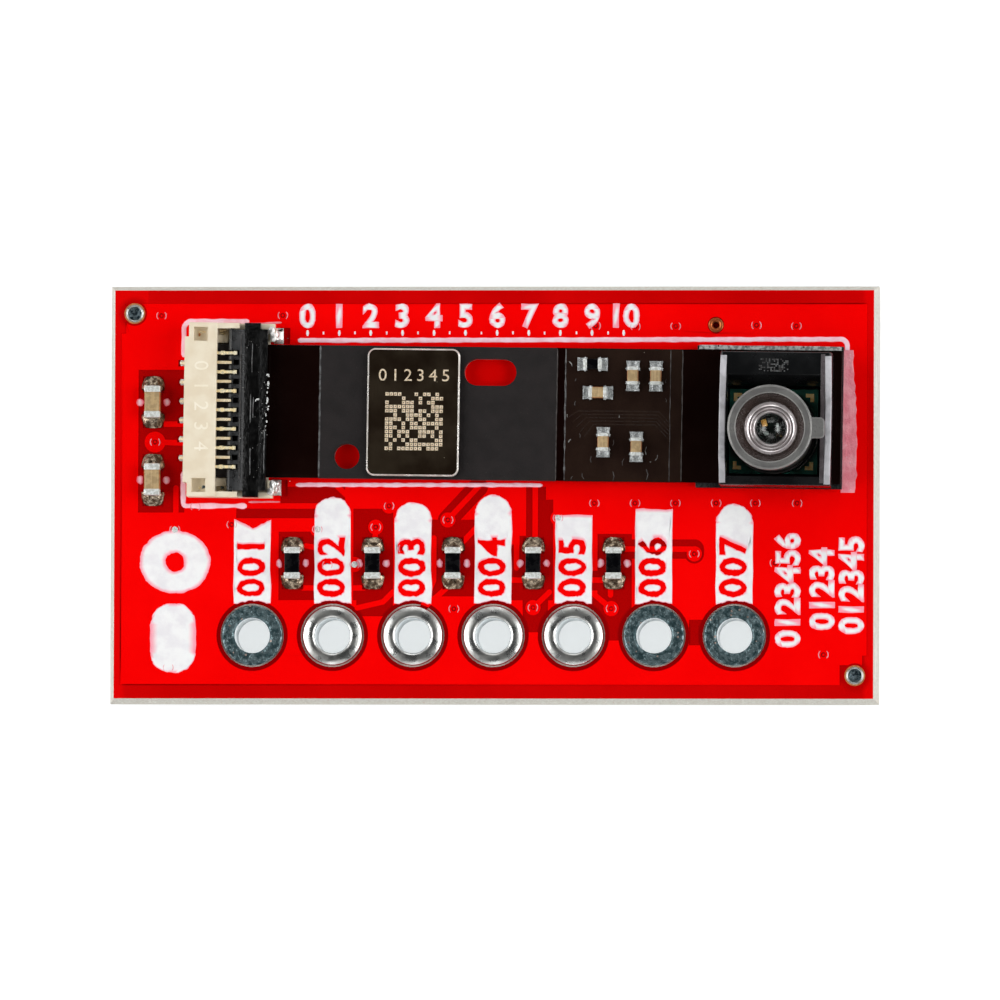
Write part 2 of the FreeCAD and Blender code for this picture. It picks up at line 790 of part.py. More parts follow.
def head_housing():
    s0 = head_centre[0] - head_length / 2
    s1 = head_centre[0] + head_length / 2
    t0 = head_centre[1] - head_width / 2
    t1 = head_centre[1] + head_width / 2
    shell = block(s0, t0, film_top, s1, t1, head_wall_top)
    tops = [e for e in shell.Edges if e.BoundBox.ZMin > head_wall_top - edge_tolerance
            and e.BoundBox.YLength > head_width / 2]
    shell = shell.makeFillet(head_wall_round, tops)
    north = t1 - north_block
    pocket = block(s0 + left_wall, t0 + south_wall, film_top, s1 - right_wall, north, head_wall_top)
    slope = [(north, head_wall_top), (north, head_wall_top - north_slope_drop),
             (north + north_slope, head_wall_top)]
    wire = Part.makePolygon([Vec(s0 + left_wall, t, h) for t, h in slope + slope[:1]])
    ramp = Part.Face(wire).extrude(Vec(head_length - left_wall - right_wall, 0, 0))
    return shell.cut([pocket, ramp])


def laser_board():
    s, t = laser_board_place
    return block(s - laser_board_length / 2, t - laser_board_width / 2, film_top,
                 s + laser_board_length / 2, t + laser_board_width / 2, laser_board_top)


def laser_marks():
    """Gold corner marks, each an L that opens towards the middle of the laser board."""
    s, t = laser_board_place
    z0 = laser_board_top
    z1 = laser_board_top + mark_thickness
    marks = []
    for side_s in (-1, 1):
        for side_t in (-1, 1):
            cs = s + side_s * (laser_board_length / 2 - mark_inset)
            ct = t + side_t * (laser_board_width / 2 - mark_inset)
            ends = (cs, cs - side_s * mark_size, ct, ct - side_t * mark_size)
            bar_s = block(min(ends[:2]), min(ct, ct - side_t * mark_bar), z0,
                          max(ends[:2]), max(ct, ct - side_t * mark_bar), z1)
            bar_t = block(min(cs, cs - side_s * mark_bar), min(ends[2:]), z0,
                          max(cs, cs - side_s * mark_bar), max(ends[2:]), z1)
            marks.append(fuse([bar_s, bar_t]))
    return Part.makeCompound(marks)


def laser_dies():
    s, t = laser_board_place
    dies = []
    for ds, dt, length, width in die_places:
        dies.append(block(s + ds - length / 2, t + dt - width / 2, laser_board_top,
                          s + ds + length / 2, t + dt + width / 2, laser_board_top + die_thickness))
    return Part.makeCompound(dies)


def lens_barrel():
    s, t = laser_board_place
    foot_top = laser_board_top + barrel_foot_height
    outline = [
        (barrel_window_radius, laser_board_top), (barrel_foot_radius, laser_board_top),
        (barrel_foot_radius, foot_top), (barrel_radius, foot_top), (barrel_radius, ring_bottom),
        (barrel_mouth_radius, ring_bottom), (barrel_mouth_radius, seat_height),
        (barrel_window_radius, seat_height),
    ]
    marks = laser_marks()
    return turned(outline, s, t).cut([marks])


def lens_ring():
    s, t = laser_board_place
    ring = disc(s, t, ring_radius, ring_bottom, ring_top)
    tab = block(s, t - tab_width / 2, ring_bottom, s + tab_reach, t + tab_width / 2, ring_top)
    tab_ends = [e for e in upright_edges(tab) if e.BoundBox.XMin > s + tab_reach - edge_tolerance]
    tab = tab.makeFillet(tab_corner, tab_ends)
    return fuse([ring, tab]).cut(disc(s, t, ring_bore_radius, ring_bottom, ring_top)).removeSplitter()


def lens_cone():
    s, t = laser_board_place
    outer = ring_bore_radius - seat_clearance
    throat = seat_height + cone_throat_height
    outline = [
        (cone_throat_radius, seat_height), (outer, seat_height), (outer, ring_top - cone_lip),
        (outer - cone_lip, ring_top - cone_lip), (cone_throat_radius, throat),
    ]
    return turned(outline, s, t)


def lens():
    """Moulded lens: a rim on the barrel's seat and a dome standing on it."""
    s, t = laser_board_place
    rim = disc(s, t, cone_throat_radius - lens_clearance, seat_height, seat_height + lens_rim_height)
    curve = (dome_radius ** 2 + dome_height ** 2) / (2 * dome_height)
    top = seat_height + lens_rim_height + dome_height
    ball = Part.makeSphere(curve, Vec(s, t, top - curve))
    cap = ball.common(disc(s, t, dome_radius, seat_height + lens_rim_height, top))
    return rim.fuse(cap).removeSplitter()


def board_nodes():
    copper = top_copper()
    under = bottom_copper()
    nodes = {
        "board_laminate": laminate(),
        "top_copper": copper,
        "bottom_copper": under,
        "top_solder_mask": top_mask(copper),
        "bottom_solder_mask": bottom_mask(under),
        "via_barrels": via_barrels(),
        "chip_solder_joints": chip_joints(),
        "corner_sleeve_rear": sleeve(rear_hole_x, rear_hole_y, *corner_radii),
        "corner_sleeve_front": sleeve(front_hole_x, front_hole_y, *corner_radii),
    }
    for index in range(pin_count):
        nodes[f"pin_sleeve_{index + 1}"] = sleeve(pin_x(index), pin_row_y, *pin_radii)
    for x, y, height, name in board_chips():
        nodes[name] = board_chip(x, y, height)
    return nodes


def sensor_nodes():
    half = film_width / 2
    contacts = {index: contact(index) for index in range(contact_count)}
    stiffener_bottom = tape_thickness
    nodes = {
        "connector_housing": connector_housing(),
        "connector_latch": latch_body(),
        "long_contacts": Part.makeCompound([contacts[i] for i in contacts if is_long(i)]),
        "short_contacts": Part.makeCompound([contacts[i] for i in contacts if not is_long(i)]),
        "connector_anchor_rear": anchor(1),
        "connector_anchor_front": anchor(-1),
        "connector_solder_joints": connector_joints(),
        "flex_circuit": strip(film_start, film_end, half, film_bottom, film_top),
        "tail_contact_pads": tail_pads(),
        "tail_stiffener": strip(film_start, tail_stiffener_end, half, film_top,
                                film_top + tail_stiffener_thickness, False),
        "mounting_tape": strip(tape_start, tape_end, half - tape_inset, 0, tape_thickness),
        "middle_stiffener": strip(middle_start, middle_end, half, stiffener_bottom, film_bottom),
        "chip_stiffener": strip(chip_zone_start, chip_zone_end, half, stiffener_bottom, film_bottom, False),
        "head_base_plate": block(base_plate_start, -base_plate_width / 2, stiffener_bottom,
                                 base_plate_start + base_plate_length, base_plate_width / 2, film_bottom),
        "id_plate": id_plate(),
        "flex_solder_joints": small_joints(),
        "head_housing": head_housing(),
        "laser_board": laser_board(),
        "laser_board_marks": laser_marks(),
        "laser_dies": laser_dies(),
        "lens_barrel": lens_barrel(),
        "lens_ring": lens_ring(),
        "lens_cone": lens_cone(),
        "lens": lens(),
    }
    for place, height, name in small_places():
        nodes[name] = small_chip(place, height)
    return {name: place_sensor(shape) for name, shape in nodes.items()}


os.makedirs("parts", exist_ok=True)
for node_name, node_shape in {**board_nodes(), **sensor_nodes()}.items():
    node_shape.exportStep(f"parts/{node_name}.step")
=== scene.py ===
import bpy, json, math, random
from mathutils import Matrix, Vector, kdtree, noise


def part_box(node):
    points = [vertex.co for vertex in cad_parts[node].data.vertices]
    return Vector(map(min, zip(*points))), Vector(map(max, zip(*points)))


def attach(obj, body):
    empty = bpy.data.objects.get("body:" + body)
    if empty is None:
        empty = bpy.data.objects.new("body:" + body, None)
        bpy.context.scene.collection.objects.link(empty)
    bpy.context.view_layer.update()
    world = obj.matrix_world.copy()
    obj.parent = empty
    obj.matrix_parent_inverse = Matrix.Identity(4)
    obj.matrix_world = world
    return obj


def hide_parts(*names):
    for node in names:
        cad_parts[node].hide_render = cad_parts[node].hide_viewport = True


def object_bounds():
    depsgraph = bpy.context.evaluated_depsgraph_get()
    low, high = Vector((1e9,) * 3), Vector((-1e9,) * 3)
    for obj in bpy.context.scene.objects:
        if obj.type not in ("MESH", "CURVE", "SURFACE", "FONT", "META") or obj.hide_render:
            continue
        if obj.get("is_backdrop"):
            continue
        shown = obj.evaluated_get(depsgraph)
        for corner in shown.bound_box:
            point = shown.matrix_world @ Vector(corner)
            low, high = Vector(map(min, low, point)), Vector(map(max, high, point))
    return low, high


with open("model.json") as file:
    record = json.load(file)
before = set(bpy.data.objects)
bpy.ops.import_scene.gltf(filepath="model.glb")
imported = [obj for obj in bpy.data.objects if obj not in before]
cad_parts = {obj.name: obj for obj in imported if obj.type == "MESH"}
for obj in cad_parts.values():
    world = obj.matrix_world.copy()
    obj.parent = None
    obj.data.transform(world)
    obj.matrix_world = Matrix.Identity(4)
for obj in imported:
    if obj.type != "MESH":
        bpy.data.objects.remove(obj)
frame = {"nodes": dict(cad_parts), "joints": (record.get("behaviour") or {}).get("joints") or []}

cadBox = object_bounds()
noise.seed_set(7)  # noise vectors start from the clock otherwise
print("frame loaded")

# Pieces are modelled in millimetres and brought to metres when they are finished
mm = 0.001

# The sensor sits a little turned on the board: its own axes come from the latch's hinge
hinge = frame["joints"][0]
across = -Vector(hinge["axis"])
sensorTurn = math.atan2(-across.x, across.y)
sensorSpin = Matrix.Rotation(sensorTurn, 4, "Z")
sensorPlace = Matrix.Translation(Vector(hinge["pos_m"]) / mm - sensorSpin @ Vector((1.49, 0, 0.58))) @ sensorSpin


def nodeBox(node):
    low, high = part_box(node)
    return low / mm, high / mm


def nodeMiddle(node):
    low, high = nodeBox(node)
    return (low + high) / 2


boardTop = nodeBox("top_solder_mask")[1].z
cornerSleeves = ("corner_sleeve_rear", "corner_sleeve_front")


# A colour from its screen values, 0 to 255
def tint(red, green, blue):
    def linear(value):
        value /= 255
        return value / 12.92 if value <= 0.04045 else ((value + 0.055) / 1.055) ** 2.4
    return (linear(red), linear(green), linear(blue), 1)


# Joins one socket to another, or gives it a plain value
def link(tree, start, end):
    if isinstance(start, bpy.types.NodeSocket):
        tree.links.new(start, end)
    else:
        end.default_value = start


def newGroup(name, inputs, outputs):
    group = bpy.data.node_groups.new(name, "ShaderNodeTree")
    for label, value in inputs:
        socket = group.interface.new_socket(name=label, in_out="INPUT", socket_type="NodeSocketFloat")
        socket.default_value = value
    for label in outputs:
        group.interface.new_socket(name=label, in_out="OUTPUT", socket_type="NodeSocketFloat")
    return group, group.nodes.new("NodeGroupInput"), group.nodes.new("NodeGroupOutput")


def addNode(tree, kind, **settings):
    node = tree.nodes.new(kind)
    for key, value in settings.items():
        setattr(node, key, value)
    return node


def combineMath(tree, operation, *values):
    maths = addNode(tree, "ShaderNodeMath", operation=operation)
    for value, socket in zip(values, maths.inputs):
        link(tree, value, socket)
    return maths.outputs[0]


# Gives the colour output of a mix
def mixColours(tree, factor, first, second):
    mix = addNode(tree, "ShaderNodeMix", data_type="RGBA")
    for value, place in ((factor, 0), (first, 6), (second, 7)):
        link(tree, value, mix.inputs[place])
    return mix.outputs[2]


def stepBetween(tree, value, low, high):
    ramp = addNode(tree, "ShaderNodeMapRange", interpolation_type="SMOOTHSTEP")
    for part, place in ((value, "Value"), (low, "From Min"), (high, "From Max")):
        link(tree, part, ramp.inputs[place])
    return ramp.outputs["Result"]


# Object coordinates in millimetres, squeezed along an axis where the pattern is stretched
def patternSpot(tree, stretch=(1, 1, 1)):
    place = addNode(tree, "ShaderNodeTexCoord")
    mapping = addNode(tree, "ShaderNodeMapping")
    mapping.inputs["Scale"].default_value = tuple(part / mm for part in stretch)
    link(tree, place.outputs["Object"], mapping.inputs["Vector"])
    return mapping.outputs["Vector"]


def addNoise(tree, size, detail, rough=0.5, stretch=(1, 1, 1)):
    field = addNode(tree, "ShaderNodeTexNoise")
    field.inputs["Detail"].default_value = detail
    field.inputs["Roughness"].default_value = rough
    link(tree, patternSpot(tree, stretch), field.inputs["Vector"])
    link(tree, combineMath(tree, "DIVIDE", 1, size), field.inputs["Scale"])
    return field.outputs["Fac"]


# Soft patches between two tones
cloudyTone, start, end = newGroup("cloudyTone", (("Size", 1.0), ("Low", 0.4), ("High", 0.6)), ("Mask",))
field = addNoise(cloudyTone, start.outputs["Size"], detail=4)
link(cloudyTone, stepBetween(cloudyTone, field, start.outputs["Low"], start.outputs["High"]), end.inputs["Mask"])

# Fine grain, as a height
fineGrain, start, end = newGroup("fineGrain", (("Size", 0.05),), ("Height",))
link(fineGrain, addNoise(fineGrain, start.outputs["Size"], detail=3, rough=0.7), end.inputs["Height"])

# Small bright specks in some cells of a pattern: those whose random colour passes the Thin value
dustSpecks, start, end = newGroup("dustSpecks", (("Spacing", 0.3), ("Reach", 0.12), ("Thin", 0.5)), ("Mask",))
cells = addNode(dustSpecks, "ShaderNodeTexVoronoi")
link(dustSpecks, patternSpot(dustSpecks), cells.inputs["Vector"])
link(dustSpecks, combineMath(dustSpecks, "DIVIDE", 1, start.outputs["Spacing"]), cells.inputs["Scale"])
near = combineMath(dustSpecks, "LESS_THAN", cells.outputs["Distance"], start.outputs["Reach"])
split = addNode(dustSpecks, "ShaderNodeSeparateColor")
link(dustSpecks, cells.outputs["Color"], split.inputs[0])
chosen = combineMath(dustSpecks, "GREATER_THAN", split.outputs[0], start.outputs["Thin"])
link(dustSpecks, combineMath(dustSpecks, "MULTIPLY", near, chosen), end.inputs["Mask"])

# Long thin strokes along Y: brushing, moulding lines and the laminate's fibres
longStrokes, start, end = newGroup("longStrokes", (("Width", 0.05), ("Low", 0.5), ("High", 0.7)), ("Mask", "Height"))
field = addNoise(longStrokes, start.outputs["Width"], detail=3, stretch=(1, 0.03, 1))
link(longStrokes, field, end.inputs["Height"])
link(longStrokes, stepBetween(longStrokes, field, start.outputs["Low"], start.outputs["High"]), end.inputs["Mask"])


def placeGroup(tree, group, **values):
    node = addNode(tree, "ShaderNodeGroup", node_tree=group)
    for label, value in values.items():
        node.inputs[label].default_value = value
    return node


# The mask is darker in the gaps of the pour, as painted shade of the film's raised edges, and darker round the drilled
# rings; it is thin at the board's ends
maskZones = {
    # gap is the painted shade of the pour's gaps, also used for the painted shadow round the corner rings
    "gap": tint(168, 0, 1), "end": tint(218, 1, 2), "halo": tint(132, 0, 2),
    "gapFrom": (5.98, 5.8),  # across the board, where the tone starts and where it is full
    "endFrom": (11.6, 11.8), "cornerFrom": (10.95, 4.9),
    "pinHalo": (1.19, 1.09), "cornerHalo": (0.62, 0.3), "haloEnd": 11,
}


# A soft disc round the point where x and y are 0
def ringHalo(tree, x, y, reach):
    square = combineMath(tree, "ADD", combineMath(tree, "POWER", x, 2), combineMath(tree, "POWER", y, 2))
    return stepBetween(tree, combineMath(tree, "SQRT", square), *reach)


def shadeMaskZones(tree, colour):
    parts = addNode(tree, "ShaderNodeSeparateXYZ")
    link(tree, patternSpot(tree), parts.inputs[0])
    x, y = parts.outputs["X"], parts.outputs["Y"]
    farX, farY = combineMath(tree, "ABSOLUTE", x), combineMath(tree, "ABSOLUTE", y)
    colour = mixColours(tree, stepBetween(tree, farY, *maskZones["gapFrom"]), colour, maskZones["gap"])
    ends = stepBetween(tree, farX, *maskZones["endFrom"])
    reachX, reachY = maskZones["cornerFrom"]
    left, rear = combineMath(tree, "LESS_THAN", x, -reachX), combineMath(tree, "GREATER_THAN", y, reachY)
    ends = combineMath(tree, "MAXIMUM", ends, combineMath(tree, "MULTIPLY", left, rear))
    colour = mixColours(tree, ends, colour, maskZones["end"])
    # One halo is wrapped round the whole row of pins
    first, last = nodeMiddle("pin_sleeve_1"), nodeMiddle("pin_sleeve_7")
    pitch = (last.x - first.x) / 6
    wrapped = combineMath(tree, "WRAP", combineMath(tree, "SUBTRACT", x, first.x), pitch / 2, -pitch / 2)
    inRow = combineMath(tree, "LESS_THAN", farX, maskZones["haloEnd"])
    halo = ringHalo(tree, wrapped, combineMath(tree, "SUBTRACT", y, first.y), maskZones["pinHalo"])
    colour = mixColours(tree, combineMath(tree, "MULTIPLY", inRow, halo), colour, maskZones["halo"])
    # A painted shadow round each corner ring, in the gap's tone
    for node in cornerSleeves:
        middle = nodeMiddle(node)
        aside, ahead = combineMath(tree, "SUBTRACT", x, middle.x), combineMath(tree, "SUBTRACT", y, middle.y)
        colour = mixColours(tree, ringHalo(tree, aside, ahead, maskZones["cornerHalo"]), colour, maskZones["gap"])
    return colour


def varyRoughness(tree, mask, limits, shader):
    ramp = addNode(tree, "ShaderNodeMapRange")
    ramp.inputs["To Min"].default_value, ramp.inputs["To Max"].default_value = limits
    link(tree, mask, ramp.inputs["Value"])
    link(tree, ramp.outputs["Result"], shader.inputs["Roughness"])


# A look gives two tones in patches (size, low, high), with strokes (width, low, high, colour), dust (spacing, reach,
# share left out, colour) and a rim (colour, low, high) where they are wanted, and grain (size, depth) as bump
def newFinish(name, look):
    finish = bpy.data.materials.new(name)
    finish.use_nodes = True
    tree = finish.node_tree
    shader = tree.nodes["Principled BSDF"]
    shader.inputs["Metallic"].default_value = look.get("metal", 0)
    shader.inputs["Specular IOR Level"].default_value = look.get("specular", 0.5)
    shader.inputs["Coat Weight"].default_value = look.get("coat", 0)
    shader.inputs["Coat Roughness"].default_value = look.get("coatRough", 0.05)
    size, low, high = look.get("patches", (0.8, 0.35, 0.65))
    patches = placeGroup(tree, cloudyTone, Size=size, Low=low, High=high)
    colour = mixColours(tree, patches.outputs["Mask"], look["colour"], look["second"])
    if "strokes" in look:
        width, low, high, strokeColour = look["strokes"]
        strokes = placeGroup(tree, longStrokes, Width=width, Low=low, High=high)
        colour = mixColours(tree, strokes.outputs["Mask"], colour, strokeColour)
    if "rim" in look:
        rimColour, low, high = look["rim"]
        rim = addNode(tree, "ShaderNodeAttribute", attribute_name="rim")
        inside = stepBetween(tree, rim.outputs["Fac"], low, high)
        colour = mixColours(tree, inside, rimColour, colour)
    if look.get("zones"):
        colour = shadeMaskZones(tree, colour)
    if "dust" in look:
        spacing, reach, thin, dustColour = look["dust"]
        specks = placeGroup(tree, dustSpecks, Spacing=spacing, Reach=reach, Thin=thin)
        colour = mixColours(tree, specks.outputs["Mask"], colour, dustColour)
    link(tree, colour, shader.inputs["Base Color"])
    varyRoughness(tree, patches.outputs["Mask"], look["rough"], shader)
    grainSize, grainDepth = look.get("grain", (0.04, 0.15))
    if "brushed" in look:
        grain = placeGroup(tree, longStrokes, Width=look["brushed"])
    else:
        grain = placeGroup(tree, fineGrain, Size=grainSize)
    bump = addNode(tree, "ShaderNodeBump")
    bump.inputs["Strength"].default_value = grainDepth
    bump.inputs["Distance"].default_value = grainSize * mm
    link(tree, grain.outputs["Height"], bump.inputs["Height"])
    link(tree, bump.outputs["Normal"], shader.inputs["Normal"])
    return finish


finishes = {}


# Makes a piece's finishes from its looks
def addFinishes(looks):
    finishes.update({name: newFinish(name, look) for name, look in looks.items()})
    print("finishes ready:", len(finishes))


def clearSelection():
    if bpy.context.object and bpy.context.object.mode != "OBJECT":
        bpy.ops.object.mode_set(mode="OBJECT")
    bpy.ops.object.select_all(action="DESELECT")


def useOnly(piece):
    clearSelection()
    piece.select_set(True)
    bpy.context.view_layer.objects.active = piece


def openMesh(piece, mode="FACE"):
    useOnly(piece)
    bpy.ops.object.mode_set(mode="EDIT")
    bpy.ops.mesh.select_mode(type=mode)


def closeMesh():
    bpy.ops.object.mode_set(mode="OBJECT")


# Selects faces in code by a test of their middle and normal, and leaves the mesh open
def pickFaces(piece, test):
    openMesh(piece, "FACE")
    bpy.ops.mesh.select_all(action="DESELECT")
    closeMesh()
    for face in piece.data.polygons:
        face.select = bool(test(face.center, face.normal))
    bpy.ops.object.mode_set(mode="EDIT")


# The same for edges, by a test of their two ends
def pickEdges(piece, test):
    openMesh(piece, "EDGE")
    bpy.ops.mesh.select_all(action="DESELECT")
    closeMesh()
    for edge in piece.data.edges:
        edge.select = bool(test(*(piece.data.vertices[corner].co for corner in edge.vertices)))
    bpy.ops.object.mode_set(mode="EDIT")


def isUpright(first, second):
    return abs(first.z - second.z) > 0.005


def subdivideMesh(piece, cuts):
    openMesh(piece)
    bpy.ops.mesh.select_all(action="SELECT")
    bpy.ops.mesh.subdivide(number_cuts=cuts)
    closeMesh()


def placeHere(piece, matrix):
    useOnly(piece)
    piece.matrix_world = matrix @ piece.matrix_world
    bpy.ops.object.transform_apply(location=True, rotation=True, scale=True)


def moveBy(piece, x=0, y=0, z=0, turn=0):
    placeHere(piece, Matrix.Translation((x, y, z)) @ Matrix.Rotation(turn, 4, "Z"))


def addBlock(name, size, middle=(0, 0, 0), rounding=0, steps=2):
    clearSelection()
    bpy.ops.mesh.primitive_cube_add(size=1, location=middle)
    piece = bpy.context.object
    piece.name = name
    piece.scale = size
    bpy.ops.object.transform_apply(location=True, rotation=True, scale=True)
    if rounding:
        bpy.ops.object.mode_set(mode="EDIT")
        bpy.ops.mesh.select_all(action="SELECT")
        bpy.ops.mesh.bevel(offset=rounding, segments=steps, affect="EDGES")
        closeMesh()
    return piece


# A closed turned shape: a circle is extruded from one point of its outline to the next
def turnedShape(name, outline, steps=56, middle=(0, 0)):
    least = 1e-4  # radius at which a pole closes
    clearSelection()
    last, height = max(outline[0][0], least), outline[0][1]
    bpy.ops.mesh.primitive_circle_add(vertices=steps, radius=last, location=(0, 0, height))
    piece = bpy.context.object
    piece.name = name
    bpy.ops.object.transform_apply(location=True, rotation=True, scale=True)
    bpy.ops.object.mode_set(mode="EDIT")
    bpy.ops.mesh.select_mode(type="EDGE")
    bpy.ops.mesh.select_all(action="SELECT")
    for radius, level in outline[1:]:
        wide = max(radius, least)
        bpy.ops.mesh.extrude_edges_move(TRANSFORM_OT_translate={"value": (0, 0, level - height)})
        bpy.ops.transform.resize(value=(wide / last, wide / last, 1), center_override=(0, 0, 0))
        last, height = wide, level
    bpy.ops.mesh.select_all(action="SELECT")
    bpy.ops.mesh.remove_doubles(threshold=2e-3)
    bpy.ops.mesh.normals_make_consistent(inside=False)
    closeMesh()
    moveBy(piece, middle[0], middle[1])
    return piece


def addModifier(piece, kind, **settings):
    useOnly(piece)
    modifier = piece.modifiers.new(kind.title(), kind)
    for key, value in settings.items():
        setattr(modifier, key, value)
    bpy.ops.object.modifier_apply(modifier=modifier.name)


def softenEdges(piece, width, steps=2, angle=30):
    addModifier(piece, "BEVEL", width=width, segments=steps, limit_method="ANGLE", angle_limit=math.radians(angle),
                use_clamp_overlap=True)


def joinPieces(name, parts):
    clearSelection()
    for part in parts:
        part.select_set(True)
    bpy.context.view_layer.objects.active = parts[0]
    if len(parts) > 1:
        bpy.ops.object.join()
    joined = bpy.context.object
    joined.name = name
    return joined


def copyPiece(piece, name, x=0, y=0, z=0, turn=0):
    twin = piece.copy()
    twin.data = piece.data.copy()
    twin.name = name
    bpy.context.collection.objects.link(twin)
    moveBy(twin, x, y, z, turn)
    return twin


def removePiece(piece):
    bpy.data.objects.remove(piece, do_unlink=True)


# A merged copy of a CAD node, in millimetres, to be shaped further
def copyNode(node, name, joinFlats=True):
    source = frame["nodes"][node]
    piece = source.copy()
    piece.data = source.data.copy()
    piece.name = name
    bpy.context.collection.objects.link(piece)
    piece.parent = None
    piece.hide_render = piece.hide_viewport = False
    piece.matrix_world = Matrix.Scale(1 / mm, 4)
    useOnly(piece)
    bpy.ops.object.transform_apply(location=True, rotation=True, scale=True)
    piece.data.materials.clear()
    bpy.ops.mesh.customdata_custom_splitnormals_clear()
    openMesh(piece, "VERT")
    bpy.ops.mesh.select_all(action="SELECT")
    bpy.ops.mesh.remove_doubles(threshold=1e-4)
    if joinFlats:
        bpy.ops.mesh.dissolve_limited(angle_limit=math.radians(0.5))
    closeMesh()
    return piece


def setFinish(piece, finish):
    piece.data.materials.clear()
    piece.data.materials.append(finishes[finish])


# Stores how far each point lies from the piece's outline, as a share of the reach: 0 at the outline, 1 inside.
# Finishes pale or darken towards an edge by it.
def markRim(piece, reach):
    outline = set()
    for face in piece.data.polygons:
        if abs(face.normal.z) < 0.3:
            outline.update(face.vertices)
    tree = kdtree.KDTree(len(outline))
    for corner in outline:
        tree.insert(piece.data.vertices[corner].co, corner)
    tree.balance()
    rim = piece.data.attributes.new("rim", "FLOAT", "POINT")
    for corner in piece.data.vertices:
        rim.data[corner.index].value = min(tree.find(corner.co)[2] / reach, 1)


# Brings a piece to metres, shades it and lets it ride on its body
def finishPiece(piece, finish=None, body="board", replaces=(), angle=35):
    placeHere(piece, Matrix.Scale(mm, 4))
    if finish:
        setFinish(piece, finish)
    useOnly(piece)
    bpy.ops.object.shade_smooth_by_angle(angle=math.radians(angle))
    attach(piece, body)
    if replaces:
        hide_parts(*replaces)
    return piece


boardLooks = {
    "maskRed": {
        "colour": tint(192, 0, 1), "second": tint(204, 1, 2), "patches": (3.0, 0.3, 0.7), "rough": (0.16, 0.24),
        "specular": 0.15, "grain": (0.3, 0.05), "dust": (0.9, 0.03, 0.8, tint(235, 150, 140)), "zones": True,
    },
    "filmRed": {
        "colour": tint(240, 0, 1), "second": tint(246, 1, 1), "patches": (2.2, 0.3, 0.7), "rough": (0.16, 0.24),
        "specular": 0.15, "grain": (0.3, 0.05), "dust": (0.9, 0.025, 0.84, tint(250, 190, 180)),
        # The rim colour is painted shade along the film's edges
        "rim": (tint(188, 0, 1), 0.0, 1.0),
    },
    "boardEdge": {
        "colour": tint(206, 204, 195), "second": tint(198, 192, 182), "patches": (0.1, 0.35, 0.65),
        "rough": (0.7, 0.9), "grain": (0.04, 0.5), "strokes": (0.045, 0.52, 0.7, tint(222, 220, 212)),
        "dust": (0.2, 0.13, 0.86, tint(196, 164, 152)),
    },
    "bareCopper": {
        "colour": tint(214, 120, 70), "second": tint(168, 86, 50), "patches": (0.15, 0.35, 0.65), "metal": 1,
        "rough": (0.3, 0.5), "grain": (0.03, 0.2),
    },
    "solderJoint": {
        "colour": tint(172, 156, 136), "second": tint(78, 62, 48), "patches": (0.16, 0.38, 0.6), "metal": 1,
        "rough": (0.1, 0.22), "grain": (0.1, 0.3),
    },
}
addFinishes(boardLooks)

# The brighter film where the mask lies over copper, with a darker band along its edges that is painted shade of the
# copper's edges. Thin slivers of copper beside the corner rings, given as left, right, low and high, are left out.
filmSizes = {"lift": 0.012, "fade": 0.025, "sink": 0.004,
             "slivers": ((-11.9, -11.66, 5.1, 6.2), (11.66, 11.9, -6.2, -5.1))}
film = copyNode("top_solder_mask", "maskOverCopper", joinFlats=False)
seatLevel = nodeBox("top_copper")[1].z
pickFaces(film, lambda middle, normal: normal.z < -0.5 and abs(middle.z - seatLevel) < filmSizes["sink"])
bpy.ops.mesh.select_all(action="INVERT")
bpy.ops.mesh.delete(type="FACE")
bpy.ops.mesh.select_all(action="SELECT")
bpy.ops.mesh.flip_normals()
for left, right, low, high in filmSizes["slivers"]:
    for spot, facing in (((left, 0, 0), (1, 0, 0)), ((right, 0, 0), (1, 0, 0)),
                         ((0, low, 0), (0, 1, 0)), ((0, high, 0), (0, 1, 0))):
        bpy.ops.mesh.select_all(action="SELECT")
        bpy.ops.mesh.bisect(plane_co=spot, plane_no=facing)
closeMesh()
pickFaces(film, lambda middle, normal: any(left < middle.x < right and low < middle.y < high
                                           for left, right, low, high in filmSizes["slivers"]))
bpy.ops.mesh.delete(type="FACE")
bpy.ops.mesh.select_all(action="SELECT")
bpy.ops.transform.translate(value=(0, 0, boardTop - seatLevel - filmSizes["sink"]))
bpy.ops.mesh.extrude_region_move(TRANSFORM_OT_translate={"value": (0, 0, filmSizes["lift"] + filmSizes["sink"])})
bpy.ops.mesh.inset(thickness=filmSizes["fade"], depth=0, use_even_offset=False)
closeMesh()
# The inset middle is marked 1; the band round it stays 0 and gets the painted shade
rim = film.data.attributes.new("rim", "FLOAT", "POINT")
for face in film.data.polygons:
    if face.select:
        for corner in face.vertices:
            rim.data[corner].value = 1
finishPiece(film, "filmRed", angle=0)
print("film over copper:", len(film.data.polygons))


ringLooks = {
    "tinnedRing": {
        "colour": tint(214, 216, 214), "second": tint(196, 196, 192), "patches": (0.4, 0.35, 0.65), "metal": 1,
        "rough": (0.24, 0.36), "grain": (0.3, 0.05),
    },
    "dullRing": {
        "colour": tint(112, 132, 136), "second": tint(44, 66, 70), "patches": (0.13, 0.4, 0.62), "metal": 0.62,
        "rough": (0.16, 0.34), "grain": (0.16, 0.35), "dust": (0.13, 0.28, 0.84, tint(156, 140, 132)),
    },
    "boreWhite": {
        "colour": tint(246, 250, 252), "second": tint(232, 238, 240), "patches": (0.3, 0.35, 0.65),
        "rough": (0.3, 0.5), "grain": (0.05, 0.1),
    },
    "edgeOrange": {
        "colour": tint(188, 124, 72), "second": tint(146, 92, 54), "patches": (0.1, 0.35, 0.65),
        "rough": (0.3, 0.45), "grain": (0.04, 0.2),
    },
}
addFinishes(ringLooks)

